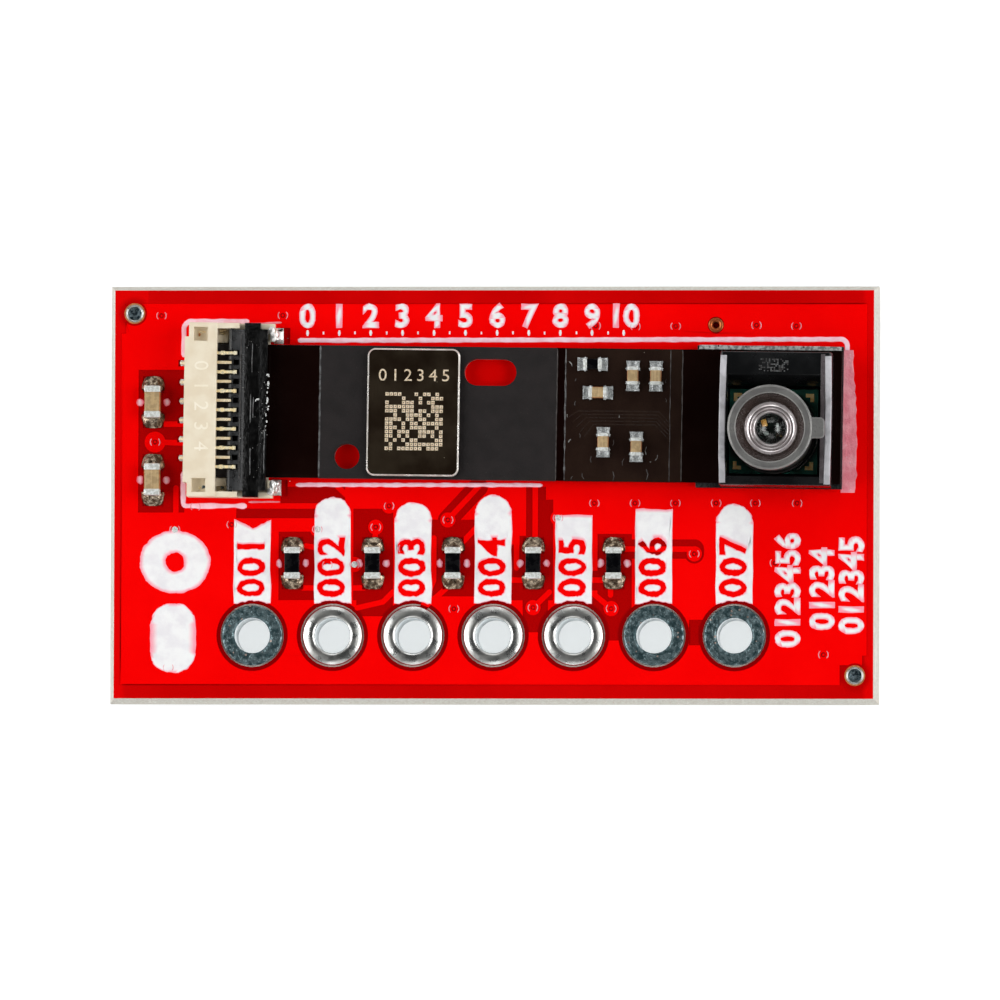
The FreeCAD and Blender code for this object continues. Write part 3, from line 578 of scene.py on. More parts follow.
# Tinned rings round the pin holes. The flat ones are given by their numbers.
ringSizes = {"bore": 0.55, "land": 0.95, "crest": 0.025, "flat": (1, 6, 7), "steps": 72,
             "dome": {"drop": 0.085, "crestAt": 0.66, "swell": 0.016},
             "plain": {"drop": 0.012, "crestAt": 0.6, "swell": 0.006}}
ringTop = nodeBox("pin_sleeve_1")[1].z


# Rings in molten tin: some are domed and bright, some nearly flat and frosted
def ringOutline(crest, drop, crestAt):
    inner, outer = ringSizes["bore"], ringSizes["land"]
    span = outer - crestAt
    over = [(crestAt + span * part, crest - drop * part ** 2) for part in (0, 0.2, 0.4, 0.6, 0.8, 0.93)]
    up = [(inner, 0.0), (inner, 0.8), (inner, crest - 0.1), (inner + 0.008, crest - 0.06),
          (inner + 0.03, crest - 0.025), ((inner + crestAt) / 2 + 0.02, crest - 0.006)]
    back = [(outer, crest - drop - 0.02), (inner + 0.12, boardTop - 0.08), (inner + 0.12, 0.07),
            (outer - 0.02, 0.066), (outer - 0.005, 0.03), (outer - 0.03, 0.004), (inner + 0.03, 0.0), (inner, 0.0)]
    return up + over + back


dome, plain = ringSizes["dome"], ringSizes["plain"]
domedRing = turnedShape("domedRing", ringOutline(ringTop + ringSizes["crest"], dome["drop"], dome["crestAt"]),
                        steps=ringSizes["steps"])
flatRing = turnedShape("flatRing", ringOutline(ringTop, plain["drop"], plain["crestAt"]), steps=ringSizes["steps"])
for index in range(7):
    node = f"pin_sleeve_{index + 1}"
    middle = nodeMiddle(node)
    flat = index + 1 in ringSizes["flat"]
    ring = copyPiece(flatRing if flat else domedRing, f"pinRing{index + 1}", middle.x, middle.y, 0, turn=0.7 * index)
    shift = Vector((index * 3.3, 1, 2))
    for corner in ring.data.vertices:
        if corner.co.z > boardTop:
            swell = noise.noise(Vector((corner.co.x, corner.co.y, 0)) * 1.6 + shift)
            corner.co.z += (plain if flat else dome)["swell"] * swell
    setFinish(ring, "dullRing" if flat else "tinnedRing")
    # The bore walls get a near-white, non-metal finish: painted light in place of the tin's bright reflection
    ring.data.materials.append(finishes["boreWhite"])
    for face in ring.data.polygons:
        out = math.hypot(face.center.x - middle.x, face.center.y - middle.y)
        if out < ringSizes["bore"] + 0.006 and abs(face.normal.z) < 0.3:
            face.material_index = 1
    finishPiece(ring, replaces=(node,), angle=60)
removePiece(domedRing)
removePiece(flatRing)

# Small rings at two corners, each with bare copper round it and a skirt of mask that laps against that
cornerSizes = {"bore": 0.215, "land": 0.29, "halo": 0.325, "skirt": 0.42}
inner, outer = cornerSizes["bore"], cornerSizes["land"]
cornerOutline = [
    (inner, 0.0), (inner, 0.8), (inner, ringTop - 0.03), (inner + 0.02, ringTop - 0.005), (inner + 0.045, ringTop),
    (outer - 0.015, ringTop - 0.01), (outer, ringTop - 0.04), (inner + 0.03, ringTop - 0.06), (inner + 0.03, 0.06),
    (outer, 0.05), (outer - 0.02, 0.004), (inner, 0.0),
]
reach, skirt = cornerSizes["halo"], cornerSizes["skirt"]
haloOutline = [
    (outer - 0.01, ringTop - 0.05), (outer - 0.01, ringTop - 0.015), (reach - 0.01, ringTop - 0.012),
    (reach, boardTop + 0.001), (skirt, boardTop + 0.001), (skirt, ringTop - 0.05), (outer - 0.01, ringTop - 0.05),
]
for node in cornerSleeves:
    middle = nodeMiddle(node)
    ring = turnedShape(node.replace("corner_sleeve_", "cornerRing"), cornerOutline, steps=48, middle=middle.xy)
    finishPiece(ring, "tinnedRing", replaces=(node,), angle=50)
    halo = turnedShape(node.replace("corner_sleeve_", "cornerHalo"), haloOutline, steps=48, middle=middle.xy)
    setFinish(halo, "edgeOrange")
    halo.data.materials.append(finishes["maskRed"])
    for face in halo.data.polygons:
        if math.hypot(face.center.x - middle.x, face.center.y - middle.y) > reach:
            face.material_index = 1
    finishPiece(halo, angle=50)
print("rings done")

chipLooks = {
    "chipBlack": {
        "colour": tint(4, 4, 6), "second": tint(9, 9, 11), "patches": (0.2, 0.4, 0.6), "rough": (0.2, 0.32),
        "specular": 0.2, "grain": (0.05, 0.06),
    },
    "chipTan": {
        "colour": tint(176, 150, 108), "second": tint(154, 130, 92), "patches": (0.12, 0.4, 0.6),
        "rough": (0.5, 0.6), "grain": (0.02, 0.2), "strokes": (0.05, 0.5, 0.75, tint(196, 170, 130)),
    },
    "terminalTin": {
        "colour": tint(228, 232, 230), "second": tint(196, 198, 192), "patches": (0.09, 0.4, 0.6), "metal": 0.3,
        "rough": (0.28, 0.42), "grain": (0.05, 0.35),
    },
    "padTin": {
        "colour": tint(214, 218, 218), "second": tint(172, 176, 176), "patches": (0.08, 0.4, 0.6), "metal": 0.72,
        "rough": (0.16, 0.28), "grain": (0.06, 0.3),
    },
}
addFinishes(chipLooks)


# A solder joint: a block whose top is drawn in and lowered towards its outer end
def addJoint(name, length, width, height, seed):
    piece = addBlock(name, (length, width, height), (0, 0, height / 2))
    subdivideMesh(piece, 4)
    shake = random.Random(seed)
    lumps = Vector([shake.uniform(0, 50) for count in range(3)])
    for corner in piece.data.vertices:
        along = min(max(corner.co.x / length + 0.5, 0), 1)
        aside = abs(corner.co.y) / width * 2
        rise = corner.co.z / height
        bulge = 1 - 0.35 * rise - 0.15 * (along ** 3)
        corner.co.y *= bulge * (1 - 0.3 * along ** 3)
        fall = 1 - 0.72 * along ** 1.6
        corner.co.z = height * rise * max(fall, 0.16) * (1 - 0.35 * aside ** 4 * rise)
        lump = noise.noise(corner.co * 9 + lumps) * 0.05 * width
        corner.co += corner.normal * lump * (1 if rise > 0.1 else 0)
        corner.co.z = max(corner.co.z, 0)
    addModifier(piece, "SUBSURF", levels=2, render_levels=2)
    return piece


# A small square pad: its tin is hollow in the middle, pulled up to the chip, with a bead on each inner corner
def addPad(name, length, width, height, seed):
    piece = addBlock(name, (length, width, height), (0, 0, height / 2))
    subdivideMesh(piece, 5)
    for corner in piece.data.vertices:
        along = min(max(corner.co.x / length + 0.5, 0), 1)
        aside = corner.co.y / width * 2
        corner.co.y *= 1 - 0.1 * math.sin(math.pi * along)
        if corner.co.z > height * 0.1:
            sink = (1 - aside ** 2) * math.sin(math.pi * min(along * 1.1, 1)) * 0.6
            corner.co.z *= (1 - 0.4 * along) * (1 - sink * 0.7) + 0.3 * along ** 6 * abs(aside)
            corner.co.z += 0.006 * noise.noise(corner.co * 16 + Vector((seed, 0, 0)))
    parts = [piece]
    for side in (-1, 1):
        clearSelection()
        bpy.ops.mesh.primitive_uv_sphere_add(segments=12, ring_count=8, radius=0.026,
                                             location=(-length / 2 + 0.06, side * (width / 2 - 0.006), height * 0.7))
        parts.append(bpy.context.object)
    softenEdges(piece, 0.008, steps=2, angle=50)
    return joinPieces(name, parts)


# An uneven bead of solder
def addBead(name, size, place):
    clearSelection()
    bpy.ops.mesh.primitive_uv_sphere_add(segments=20, ring_count=12, radius=1)
    bead = bpy.context.object
    bead.name = name
    for corner in bead.data.vertices:
        corner.co *= 1 + 0.28 * noise.noise(corner.co * 1.5 + Vector(place) * 4)
    placeHere(bead, Matrix.Translation(place) @ Matrix.Diagonal((*size, 1)))
    return bead


# Dresses a chip's CAD node and gives the solder at its two ends. The joints start under the chip's end.
def addChip(name, node, turn, finish, sizes, seed):
    low, high = nodeBox(node)
    middle, height = nodeMiddle(node), high.z - low.z
    length, width, band, wrap = sizes["length"], sizes["width"], sizes["band"], sizes["wrap"]
    body = addBlock(name + "Body", (length - 0.04, width - 2 * wrap, height - 2 * wrap), (0, 0, height / 2),
                    rounding=0.015)
    setFinish(body, finish)
    parts = [body]
    # Thin orange strips along the tan bodies' sides: a painted highlight of their edges
    if finish == "chipTan":
        for side in (-1, 1):
            edge = addBlock(name + "Edge", (length - 1.9 * band, 0.03, height - 0.05),
                            (0, side * (width / 2 - wrap), height / 2), rounding=0.008)
            setFinish(edge, "edgeOrange")
            parts.append(edge)
    for side in (-1, 1):
        end = addBlock(name + "End", (band, width, height), (side * (length - band) / 2, 0, height / 2),
                       rounding=0.03, steps=3)
        setFinish(end, "terminalTin")
        parts.append(end)
    chip = joinPieces(name, parts)
    moveBy(chip, middle.x, middle.y, low.z, turn)
    joints = []
    addEnd = addPad if sizes["square"] else addJoint
    for side in (-1, 1):
        joint = addEnd(name + "Joint", sizes["jointLength"], sizes["jointWidth"], sizes["climb"], seed + side)
        moveBy(joint, length / 2 - sizes["under"] + sizes["jointLength"] / 2, 0, 0)
        moveBy(joint, 0, 0, 0, math.pi if side < 0 else 0)
        joints.append(joint)
    solder = joinPieces(name + "Solder", joints)
    moveBy(solder, middle.x, middle.y, low.z - sizes["lift"], turn)
    finishPiece(chip, replaces=(node,))
    return solder


# Resistors and capacitors on the board
chipSizes = {"length": 1.0, "width": 0.5, "band": 0.2, "wrap": 0.02, "jointLength": 0.46, "jointWidth": 0.78,
             "climb": 0.24, "under": 0.14, "lift": 0.03, "square": False}
boardChips = (("resistor", 5, "chipBlack", "resistor_black", 3), ("capacitor", 2, "chipTan", "capacitor_tan", 77))
boardSolder = []
for kind, count, finish, slot, seed in boardChips:
    for index in range(count):
        boardSolder.append(addChip(f"{kind}{index + 1}", f"{kind}_{index + 1}", math.pi / 2, finish, chipSizes,
                                   10 * index + seed))
finishPiece(joinPieces("boardChipSolder", boardSolder), "solderJoint", replaces=("chip_solder_joints",),
            angle=60)

# Smaller ones on the flex, on square pads
flexChipSizes = {"length": 0.57, "width": 0.33, "band": 0.12, "wrap": 0.008, "jointLength": 0.3, "jointWidth": 0.43,
                 "climb": 0.11, "under": 0.11, "lift": 0.01, "square": True}
flexChips = (("resistor", 1, 0), ("capacitor", 1, 0), ("capacitor", 2, 90), ("capacitor", 3, 90), ("capacitor", 4, 90),
             ("capacitor", 5, 90))
flexSolder = []
for index, (kind, number, turn) in enumerate(flexChips):
    finish, slot = ("chipBlack", "resistor_black") if kind == "resistor" else ("chipTan", "capacitor_tan")
    flexSolder.append(addChip(f"flex-{kind}{number}", f"flex_{kind}_{number}", math.radians(turn) + sensorTurn, finish,
                              flexChipSizes, 7 * index + 5))
finishPiece(joinPieces("flexChipSolder", flexSolder), "padTin", replaces=("flex_solder_joints",), angle=60)
print("chips done")

connectorLooks = {
    "housingCream": {
        "colour": tint(232, 221, 198), "second": tint(224, 210, 184), "patches": (0.6, 0.35, 0.65),
        "rough": (0.38, 0.5), "grain": (0.05, 0.12), "dust": (0.5, 0.03, 0.8, tint(196, 176, 146)),
    },
    "contactGold": {
        "colour": tint(255, 246, 214), "second": tint(252, 228, 172), "patches": (0.12, 0.35, 0.65),
        "metal": 0.35, "rough": (0.2, 0.32), "grain": (0.04, 0.08),
    },
    "paleContact": {
        "colour": tint(250, 234, 200), "second": tint(228, 204, 160), "patches": (0.12, 0.35, 0.65), "metal": 0.3,
        "rough": (0.25, 0.4), "grain": (0.04, 0.1),
    },
    "brightSolder": {
        "colour": tint(248, 248, 246), "second": tint(206, 204, 200), "patches": (0.1, 0.35, 0.65), "metal": 0.55,
        "rough": (0.14, 0.3), "grain": (0.07, 0.3),
    },
    "latchBlack": {
        "colour": tint(6, 6, 6), "second": tint(13, 13, 13), "patches": (0.18, 0.4, 0.65), "rough": (0.14, 0.24),
        "specular": 0.35, "grain": (0.12, 0.22), "dust": (0.22, 0.06, 0.8, tint(120, 118, 112)),
    },
    "latchHeel": {
        "colour": tint(9, 10, 11), "second": tint(20, 22, 24), "patches": (0.2, 0.4, 0.6), "rough": (0.25, 0.4),
        "grain": (0.05, 0.2),
    },
}
addFinishes(connectorLooks)

# Connector: housing, contacts, solder and latch
housing = copyNode("connector_housing", "connectorHousing")
softenEdges(housing, 0.02, steps=2)
finishPiece(housing, "housingCream", replaces=("connector_housing",))

# The long contacts end in a small head and thicken again near the housing: place along, length and width of each lump
contactSizes = {"heads": [0.6 * step for step in range(-3, 4)], "lumps": ((1.2, 0.12, 0.13), (1.62, 0.07, 0.12)),
                "thick": 0.05, "sink": 0.02, "tinnedTo": 0.05}
contactTop = nodeBox("long_contacts")[1].z - boardTop
for node, finish in (("long_contacts", "contactGold"), ("short_contacts", "paleContact")):
    contacts = copyNode(node, node.replace("_c", "C"))
    softenEdges(contacts, 0.012, steps=2)
    placeHere(contacts, sensorPlace.inverted())
    setFinish(contacts, finish)
    contacts.data.materials.append(finishes["brightSolder"])
    for face in contacts.data.polygons:
        face.material_index = 1 if face.center.x < contactSizes["tinnedTo"] else 0
    parts = [contacts]
    for v in contactSizes["heads"] if node == "long_contacts" else ():
        for u, wide, high in contactSizes["lumps"]:
            level = contactTop - contactSizes["sink"]
            lump = addBlock("contactHead", (wide, high, contactSizes["thick"]), (u, v, level), rounding=0.012)
            setFinish(lump, finish)
            parts.append(lump)
    contacts = joinPieces(contacts.name, parts)
    placeHere(contacts, sensorPlace)
    finishPiece(contacts, replaces=(node,))

# Solder at the contacts' tails is drawn in a little, and so is the peg's
tails = copyNode("connector_solder_joints", "tailSolder")
tailShift = {"reach": 0.14, "move": 0.07, "peg": -6.75, "pull": 0.2}
tailEdge = nodeBox("connector_solder_joints")[0].x + tailShift["reach"]
for corner in tails.data.vertices:
    if corner.co.x < tailEdge:
        corner.co.x += tailShift["move"]
    elif corner.co.x > tailShift["peg"]:
        corner.co.x -= tailShift["pull"]
softenEdges(tails, 0.03, steps=3)
finishPiece(tails, "brightSolder", replaces=("connector_solder_joints",))

# Beads of solder where each front corner is held: place along, place aside, level and size
anchorBeads = ((-7.01, 0.15, 2.04, (0.12, 0.14, 0.08)), (-6.96, -0.08, 2.03, (0.11, 0.15, 0.08)),
               (-6.88, 0.05, 1.78, (0.1, 0.15, 0.16)), (-6.86, -0.12, 1.72, (0.12, 0.11, 0.14)))
for node, side in (("connector_anchor_rear", 1), ("connector_anchor_front", -1)):
    middle = nodeMiddle(node)
    lumps = [addBead("lump", size, (x, middle.y + side * spread, level)) for x, spread, level, size in anchorBeads]
    anchor = joinPieces(node.replace("connector_a", "a").replace("_", ""), lumps)
    finishPiece(anchor, "brightSolder", replaces=(node,), angle=60)

# The upward faces of the latch's heel get a slightly lighter finish: a painted sheen
latchSizes = {"soften": 0.018, "heelTo": 1.72, "heelFrom": 0.6}
latch = copyNode("connector_latch", "latchBar")
softenEdges(latch, latchSizes["soften"], steps=2)
placeHere(latch, sensorPlace.inverted())
setFinish(latch, "latchBlack")
latch.data.materials.append(finishes["latchHeel"])
for face in latch.data.polygons:
    if face.center.x < latchSizes["heelTo"] and face.center.z > latchSizes["heelFrom"] and face.normal.z > 0.2:
        face.material_index = 1
placeHere(latch, sensorPlace)
finishPiece(latch, body="latch", replaces=("connector_latch",))
print("connector done")

flexLooks = {
    "flexBlack": {
        "colour": tint(13, 3, 2), "second": tint(18, 6, 4), "patches": (1.6, 0.3, 0.7), "rough": (0.12, 0.2),
        "specular": 0.2, "grain": (0.4, 0.04), "dust": (0.55, 0.028, 0.75, tint(150, 140, 130)),
    },
    "flexBrown": {
        "colour": tint(31, 20, 16), "second": tint(37, 25, 19), "patches": (0.9, 0.3, 0.7), "rough": (0.16, 0.26),
        "specular": 0.2, "grain": (0.3, 0.05), "dust": (0.4, 0.03, 0.75, tint(130, 120, 110)),
    },
    "stiffenerGrey": {
        "colour": tint(17, 12, 12), "second": tint(24, 18, 18), "patches": (0.5, 0.3, 0.7), "rough": (0.5, 0.6),
        "grain": (0.07, 0.3), "specular": 0.3, "dust": (0.1, 0.1, 0.72, tint(50, 44, 42)),
    },
    "tapeWhite": {
        "colour": tint(176, 168, 160), "second": tint(140, 132, 126), "rough": (0.6, 0.8),
    },
    "plateBrown": {
        "colour": tint(34, 22, 10), "second": tint(46, 36, 22), "patches": (0.9, 0.3, 0.7), "metal": 0.6,
        "rough": (0.3, 0.42), "brushed": 0.03, "grain": (0.02, 0.25),
        "dust": (0.25, 0.05, 0.8, tint(150, 140, 120)),
    },
    "plateRim": {
        "colour": tint(232, 228, 222), "second": tint(196, 190, 182), "patches": (0.3, 0.4, 0.6), "metal": 1,
        "rough": (0.25, 0.35), "grain": (0.03, 0.3),
    },
}
addFinishes(flexLooks)

headLooks = {
    "headBlack": {
        "colour": tint(13, 14, 15), "second": tint(20, 21, 22), "patches": (0.9, 0.35, 0.65), "rough": (0.2, 0.3),
        "specular": 0.4, "grain": (0.15, 0.12), "dust": (0.3, 0.04, 0.8, tint(120, 124, 124)),
    },
    "ringGrey": {
        "colour": tint(106, 106, 104), "second": tint(88, 87, 86), "patches": (0.5, 0.35, 0.65),
        "rough": (0.24, 0.36), "grain": (0.08, 0.1),
    },
    "barrelDark": {
        "colour": tint(36, 34, 34), "second": tint(52, 50, 48), "patches": (0.3, 0.35, 0.65),
        "rough": (0.3, 0.42), "grain": (0.05, 0.15),
    },
    "greenBoard": {
        "colour": tint(6, 74, 58), "second": tint(10, 92, 76), "patches": (0.4, 0.35, 0.65), "rough": (0.3, 0.4),
        "grain": (0.05, 0.15),
    },
    # Pale gold with little metal, for the marks and dies deep in the head: a painted glint that keeps them bright in
    # the well's shade
    "markGold": {
        "colour": tint(255, 230, 166), "second": tint(252, 204, 124), "patches": (0.06, 0.35, 0.65), "metal": 0.1,
        "rough": (0.25, 0.4), "grain": (0.03, 0.3),
    },
}
addFinishes(headLooks)

# Flex circuit, stiffeners and the marked plate: slot, finish and width of the softened edge
flexSheets = {
    "flex_circuit": ("flex_black", "flexBlack", 0.02),
    "middle_stiffener": ("stiffener_black", "stiffenerGrey", 0.02),
    "chip_stiffener": ("stiffener_black", "flexBlack", 0.015),
    "head_base_plate": ("base_plate_metal", "headBlack", 0.02),
}
for node, (slot, finish, edge) in flexSheets.items():
    sheet = copyNode(node, node.split("_")[0] + node.split("_")[1].title())
    softenEdges(sheet, edge, steps=2)
    finishPiece(sheet, finish, replaces=(node,))

plate = copyNode("id_plate", "markedPlate")
softenEdges(plate, 0.026, steps=3, angle=50)
setFinish(plate, "plateBrown")
# The slanting bevels round the plate's top get a pale metal: a painted highlight of the bevels
plate.data.materials.append(finishes["plateRim"])
plateTop = nodeBox("id_plate")[1].z
for face in plate.data.polygons:
    if 0.1 < face.normal.z < 0.97 and face.center.z > plateTop - 0.05:
        face.material_index = 1
finishPiece(plate, replaces=("id_plate",))
print("flex done")

# Sensor head: housing, the ring round the lens and the barrel that carries it
head = copyNode("head_housing", "headHousing")
softenEdges(head, 0.03, steps=3)
finishPiece(head, "headBlack", replaces=("head_housing",))
ring = copyNode("lens_ring", "lensFlange")
softenEdges(ring, 0.05, steps=3)
moveBy(ring, 0, 0, -0.02)
finishPiece(ring, "ringGrey", replaces=("lens_ring",), angle=60)
barrel = copyNode("lens_barrel", "lensBarrel")
softenEdges(barrel, 0.02, steps=2)
finishPiece(barrel, "barrelDark", replaces=("lens_barrel",))


inkLooks = {
    "silkWhite": {
        "colour": tint(240, 240, 240), "second": tint(230, 228, 231), "patches": (0.35, 0.35, 0.7),
        "rough": (0.6, 0.75), "grain": (0.07, 0.25), "rim": (tint(248, 150, 168), 0.0, 0.75),
    },
    "silkPink": {
        "colour": tint(253, 214, 226), "second": tint(249, 188, 202), "patches": (0.3, 0.35, 0.7),
        "rough": (0.6, 0.75), "grain": (0.06, 0.25), "rim": (tint(240, 90, 110), 0.0, 0.9),
    },
    "silkFaint": {
        "colour": tint(228, 120, 132), "second": tint(236, 150, 162), "patches": (0.3, 0.35, 0.7),
        "rough": (0.5, 0.7), "grain": (0.06, 0.25), "rim": (tint(214, 50, 60), 0.0, 0.9),
    },
    "silkGrey": {
        "colour": tint(252, 164, 176), "second": tint(240, 132, 146), "patches": (0.4, 0.35, 0.65),
        "rough": (0.45, 0.7), "grain": (0.08, 0.5), "dust": (0.12, 0.16, 0.75, tint(240, 190, 202)),
    },
}
addFinishes(inkLooks)

# Ink lies on the film over the copper
inkLevel = boardTop + filmSizes["lift"]
inkSizes = {"thickness": 0.012, "wander": 0.019, "wave": 0.22, "rim": 0.06, "sway": 0.012, "thinEnd": 0.55}


# A push of up to the depth that changes slowly with the place
def wobble(x, y, z, depth):
    return depth * noise.noise(Vector((x, y, z)))


# Cuts a flat ink shape up and lets its outline wander a little
def roughenInk(piece, cuts=3, wander=None):
    wander = inkSizes["wander"] if wander is None else wander
    openMesh(piece)
    bpy.ops.mesh.select_all(action="SELECT")
    bpy.ops.mesh.quads_convert_to_tris()
    bpy.ops.mesh.subdivide(number_cuts=cuts)
    closeMesh()
    for corner in piece.data.vertices:
        spot = Vector((corner.co.x, corner.co.y, 0)) / inkSizes["wave"]
        push = noise.noise_vector(spot) + 0.5 * noise.noise_vector(spot * 2.7)
        corner.co.x += push.x * wander * 2
        corner.co.y += push.y * wander * 2


def finishInk(piece, finish="silkWhite", cuts=3, rimReach=None, wander=None):
    roughenInk(piece, cuts, wander)
    markRim(piece, rimReach or inkSizes["rim"])
    finishPiece(piece, finish, angle=60)


def addWords(name, words, height, middle, turn=0, bold=0.03, gap=1.0):
    clearSelection()
    bpy.ops.object.text_add()
    text = bpy.context.object
    text.name = name
    text.data.body = words
    text.data.size = height / 0.72
    text.data.extrude = inkSizes["thickness"] / 2
    text.data.offset = bold
    text.data.space_character = gap
    text.data.align_x = "CENTER"
    text.data.align_y = "CENTER"
    text.data.resolution_u = 4
    bpy.ops.object.convert(target="MESH")
    text = bpy.context.object
    openMesh(text, "VERT")
    bpy.ops.mesh.select_all(action="SELECT")
    bpy.ops.mesh.remove_doubles(threshold=1e-4)
    closeMesh()
    moveBy(text, 0, 0, 0, turn)
    moveBy(text, middle[0], middle[1], inkLevel + inkSizes["thickness"] / 2)
    return text


# A domed ink line along a path, its width drifting a little on the way
def addInkLine(name, path, width, finish, seed=0, step=0.08, drift=0.18, level=None, thick=0.02):
    points = [Vector((x, y, 0)) for x, y in path]
    spots = [points[0]]
    for first, second in zip(points, points[1:]):
        count = max(1, round((second - first).length / step))
        spots += [first.lerp(second, part / count) for part in range(1, count + 1)]
    curve = bpy.data.curves.new(name, "CURVE")
    curve.dimensions = "3D"
    curve.bevel_depth = width / 2
    curve.bevel_resolution = 2
    curve.use_fill_caps = True
    spline = curve.splines.new("POLY")
    spline.points.add(len(spots) - 1)
    shift = Vector((seed * 3.1, seed * 1.7, 0))
    for index, (point, spot) in enumerate(zip(spline.points, spots)):
        sway = noise.noise_vector(spot * 3 + shift) * inkSizes["sway"]
        point.co = (spot.x + sway.x, spot.y + sway.y, 0, 1)
        point.radius = 1 + drift * noise.noise(spot * 4 + shift * 2)
        if index in (0, len(spots) - 1):
            point.radius *= inkSizes["thinEnd"]
    line = bpy.data.objects.new(name, curve)
    bpy.context.collection.objects.link(line)
    useOnly(line)
    bpy.ops.object.convert(target="MESH")
    line = bpy.context.object
    rim = line.data.attributes.new("rim", "FLOAT", "POINT")
    for corner in line.data.vertices:
        rim.data[corner.index].value = min(max(corner.co.z / (width / 2), 0) * 1.2, 1)
    placeHere(line, Matrix.Diagonal((1, 1, thick / width, 1)))
    moveBy(line, 0, 0, inkLevel if level is None else level)
    setFinish(line, finish)
    return line


def arcPath(x, y, radius, first, last, steps=8):
    return [(x + radius * math.cos(math.radians(first + (last - first) * part / steps)),
             y + radius * math.sin(math.radians(first + (last - first) * part / steps))) for part in range(steps + 1)]


# Outlines printed round the connector and the sensor
outlineInk = {"width": 0.165, "bend": 0.25, "left": -9.82, "top": 5.47, "bottom": -0.37, "reach": -7.75,
              "sensorTop": 4.895, "sensorRight": 11.17, "sensorLeft": -6.2, "sensorBottom": 0.29, "sensorBend": 0.22}
left, top, bottom, reach, bend = (outlineInk[key] for key in ("left", "top", "bottom", "reach", "bend"))
topCorner = [(left, 4.34), (left, top - bend)] + arcPath(left + bend, top - bend, bend, 180, 90) + [(reach, top)]
bottomCorner = [(left, 0.72), (left, bottom + 0.1)] + arcPath(left + 0.1, bottom + 0.1, 0.1, 180, 270, 3)
bottomCorner += [(reach - 0.05, bottom)]
left, top, right, bottom, bend = (outlineInk["sensor" + key] for key in ("Left", "Top", "Right", "Bottom", "Bend"))
sensorCorner = [(left, top - 0.03), (right - 0.3, top)] + arcPath(right - bend, top - bend, bend, 90, 0)
sensorCorner += [(right, 4.45)]
sensorFoot = [(left - 0.05, bottom + 0.01), (1.55, bottom)]
width = outlineInk["width"]
printed = [
    addInkLine("inkA", topCorner, width, "silkPink", seed=1),
    addInkLine("inkB", bottomCorner, width, "silkPink", seed=2, drift=0.45),
    addInkLine("inkC", sensorCorner, width, "silkPink", seed=3),
    addInkLine("inkD", sensorFoot, width * 0.85, "silkPink", seed=4, drift=0.3),
]
finishPiece(joinPieces("printedOutline", printed), angle=60)
faint = [
    addInkLine("inkE", [(reach, 5.4), (-6.72, 5.43)], 0.06, "silkFaint", seed=5, drift=0.5),
    addInkLine("inkF", [(reach, -0.25), (-6.75, -0.24)], 0.07, "silkFaint", seed=6, drift=0.5),
]
finishPiece(joinPieces("printedThinEnds", faint), angle=60)

# Smeared ink beside the sensor head: straight on the left, bellied on the right
smearInk = {"left": 10.96, "right": 11.44, "top": 4.55, "bottom": 0.05, "thickness": 0.016, "rim": 0.1}
high = smearInk["top"] - smearInk["bottom"]
middle = (smearInk["left"] + smearInk["right"]) / 2
smear = addBlock("inkSmear", (smearInk["right"] - smearInk["left"], high, smearInk["thickness"]),
                 (middle, (smearInk["top"] + smearInk["bottom"]) / 2, inkLevel + smearInk["thickness"] / 2))
for cuts in (7, 2):
    subdivideMesh(smear, cuts)
for corner in smear.data.vertices:
    y, aside = corner.co.y, corner.co.x - middle
    level = (y - smearInk["bottom"]) / high
    belly = 0.62 + 0.5 * math.sin(math.pi * min(max(level * 0.86 + 0.2, 0), 1))
    if aside > 0:
        corner.co.x = middle + aside * belly + wobble(0, y * 4, 1, 0.06) + wobble(0, y * 11, 2, 0.04)
    else:
        corner.co.x = middle + aside + wobble(3, y * 5, 1, 0.02)
    if corner.co.z > inkLevel + smearInk["thickness"] * 0.75:
        corner.co.z += 0.008 * noise.noise(corner.co * 6)
markRim(smear, smearInk["rim"])
finishPiece(smear, "silkGrey", angle=70)

# Printed tags above the pins, each with its number left out of the ink
tagInk = {"width": 1.17, "foot": -3.46, "digit": 0.84, "digitLevel": -2.3, "clear": 1.1, "notch": 0.62,
          "tops": ((1, -0.73, "notch"), (2, -0.085, "round"), (3, -0.243, "round"), (4, -0.022, "round"),
                   (5, -0.654, "square"), (6, -0.465, "square"), (7, -0.307, "round"))}


def cutAway(piece, cutter):
    addModifier(piece, "BOOLEAN", operation="DIFFERENCE", object=cutter, solver="EXACT")
    removePiece(cutter)


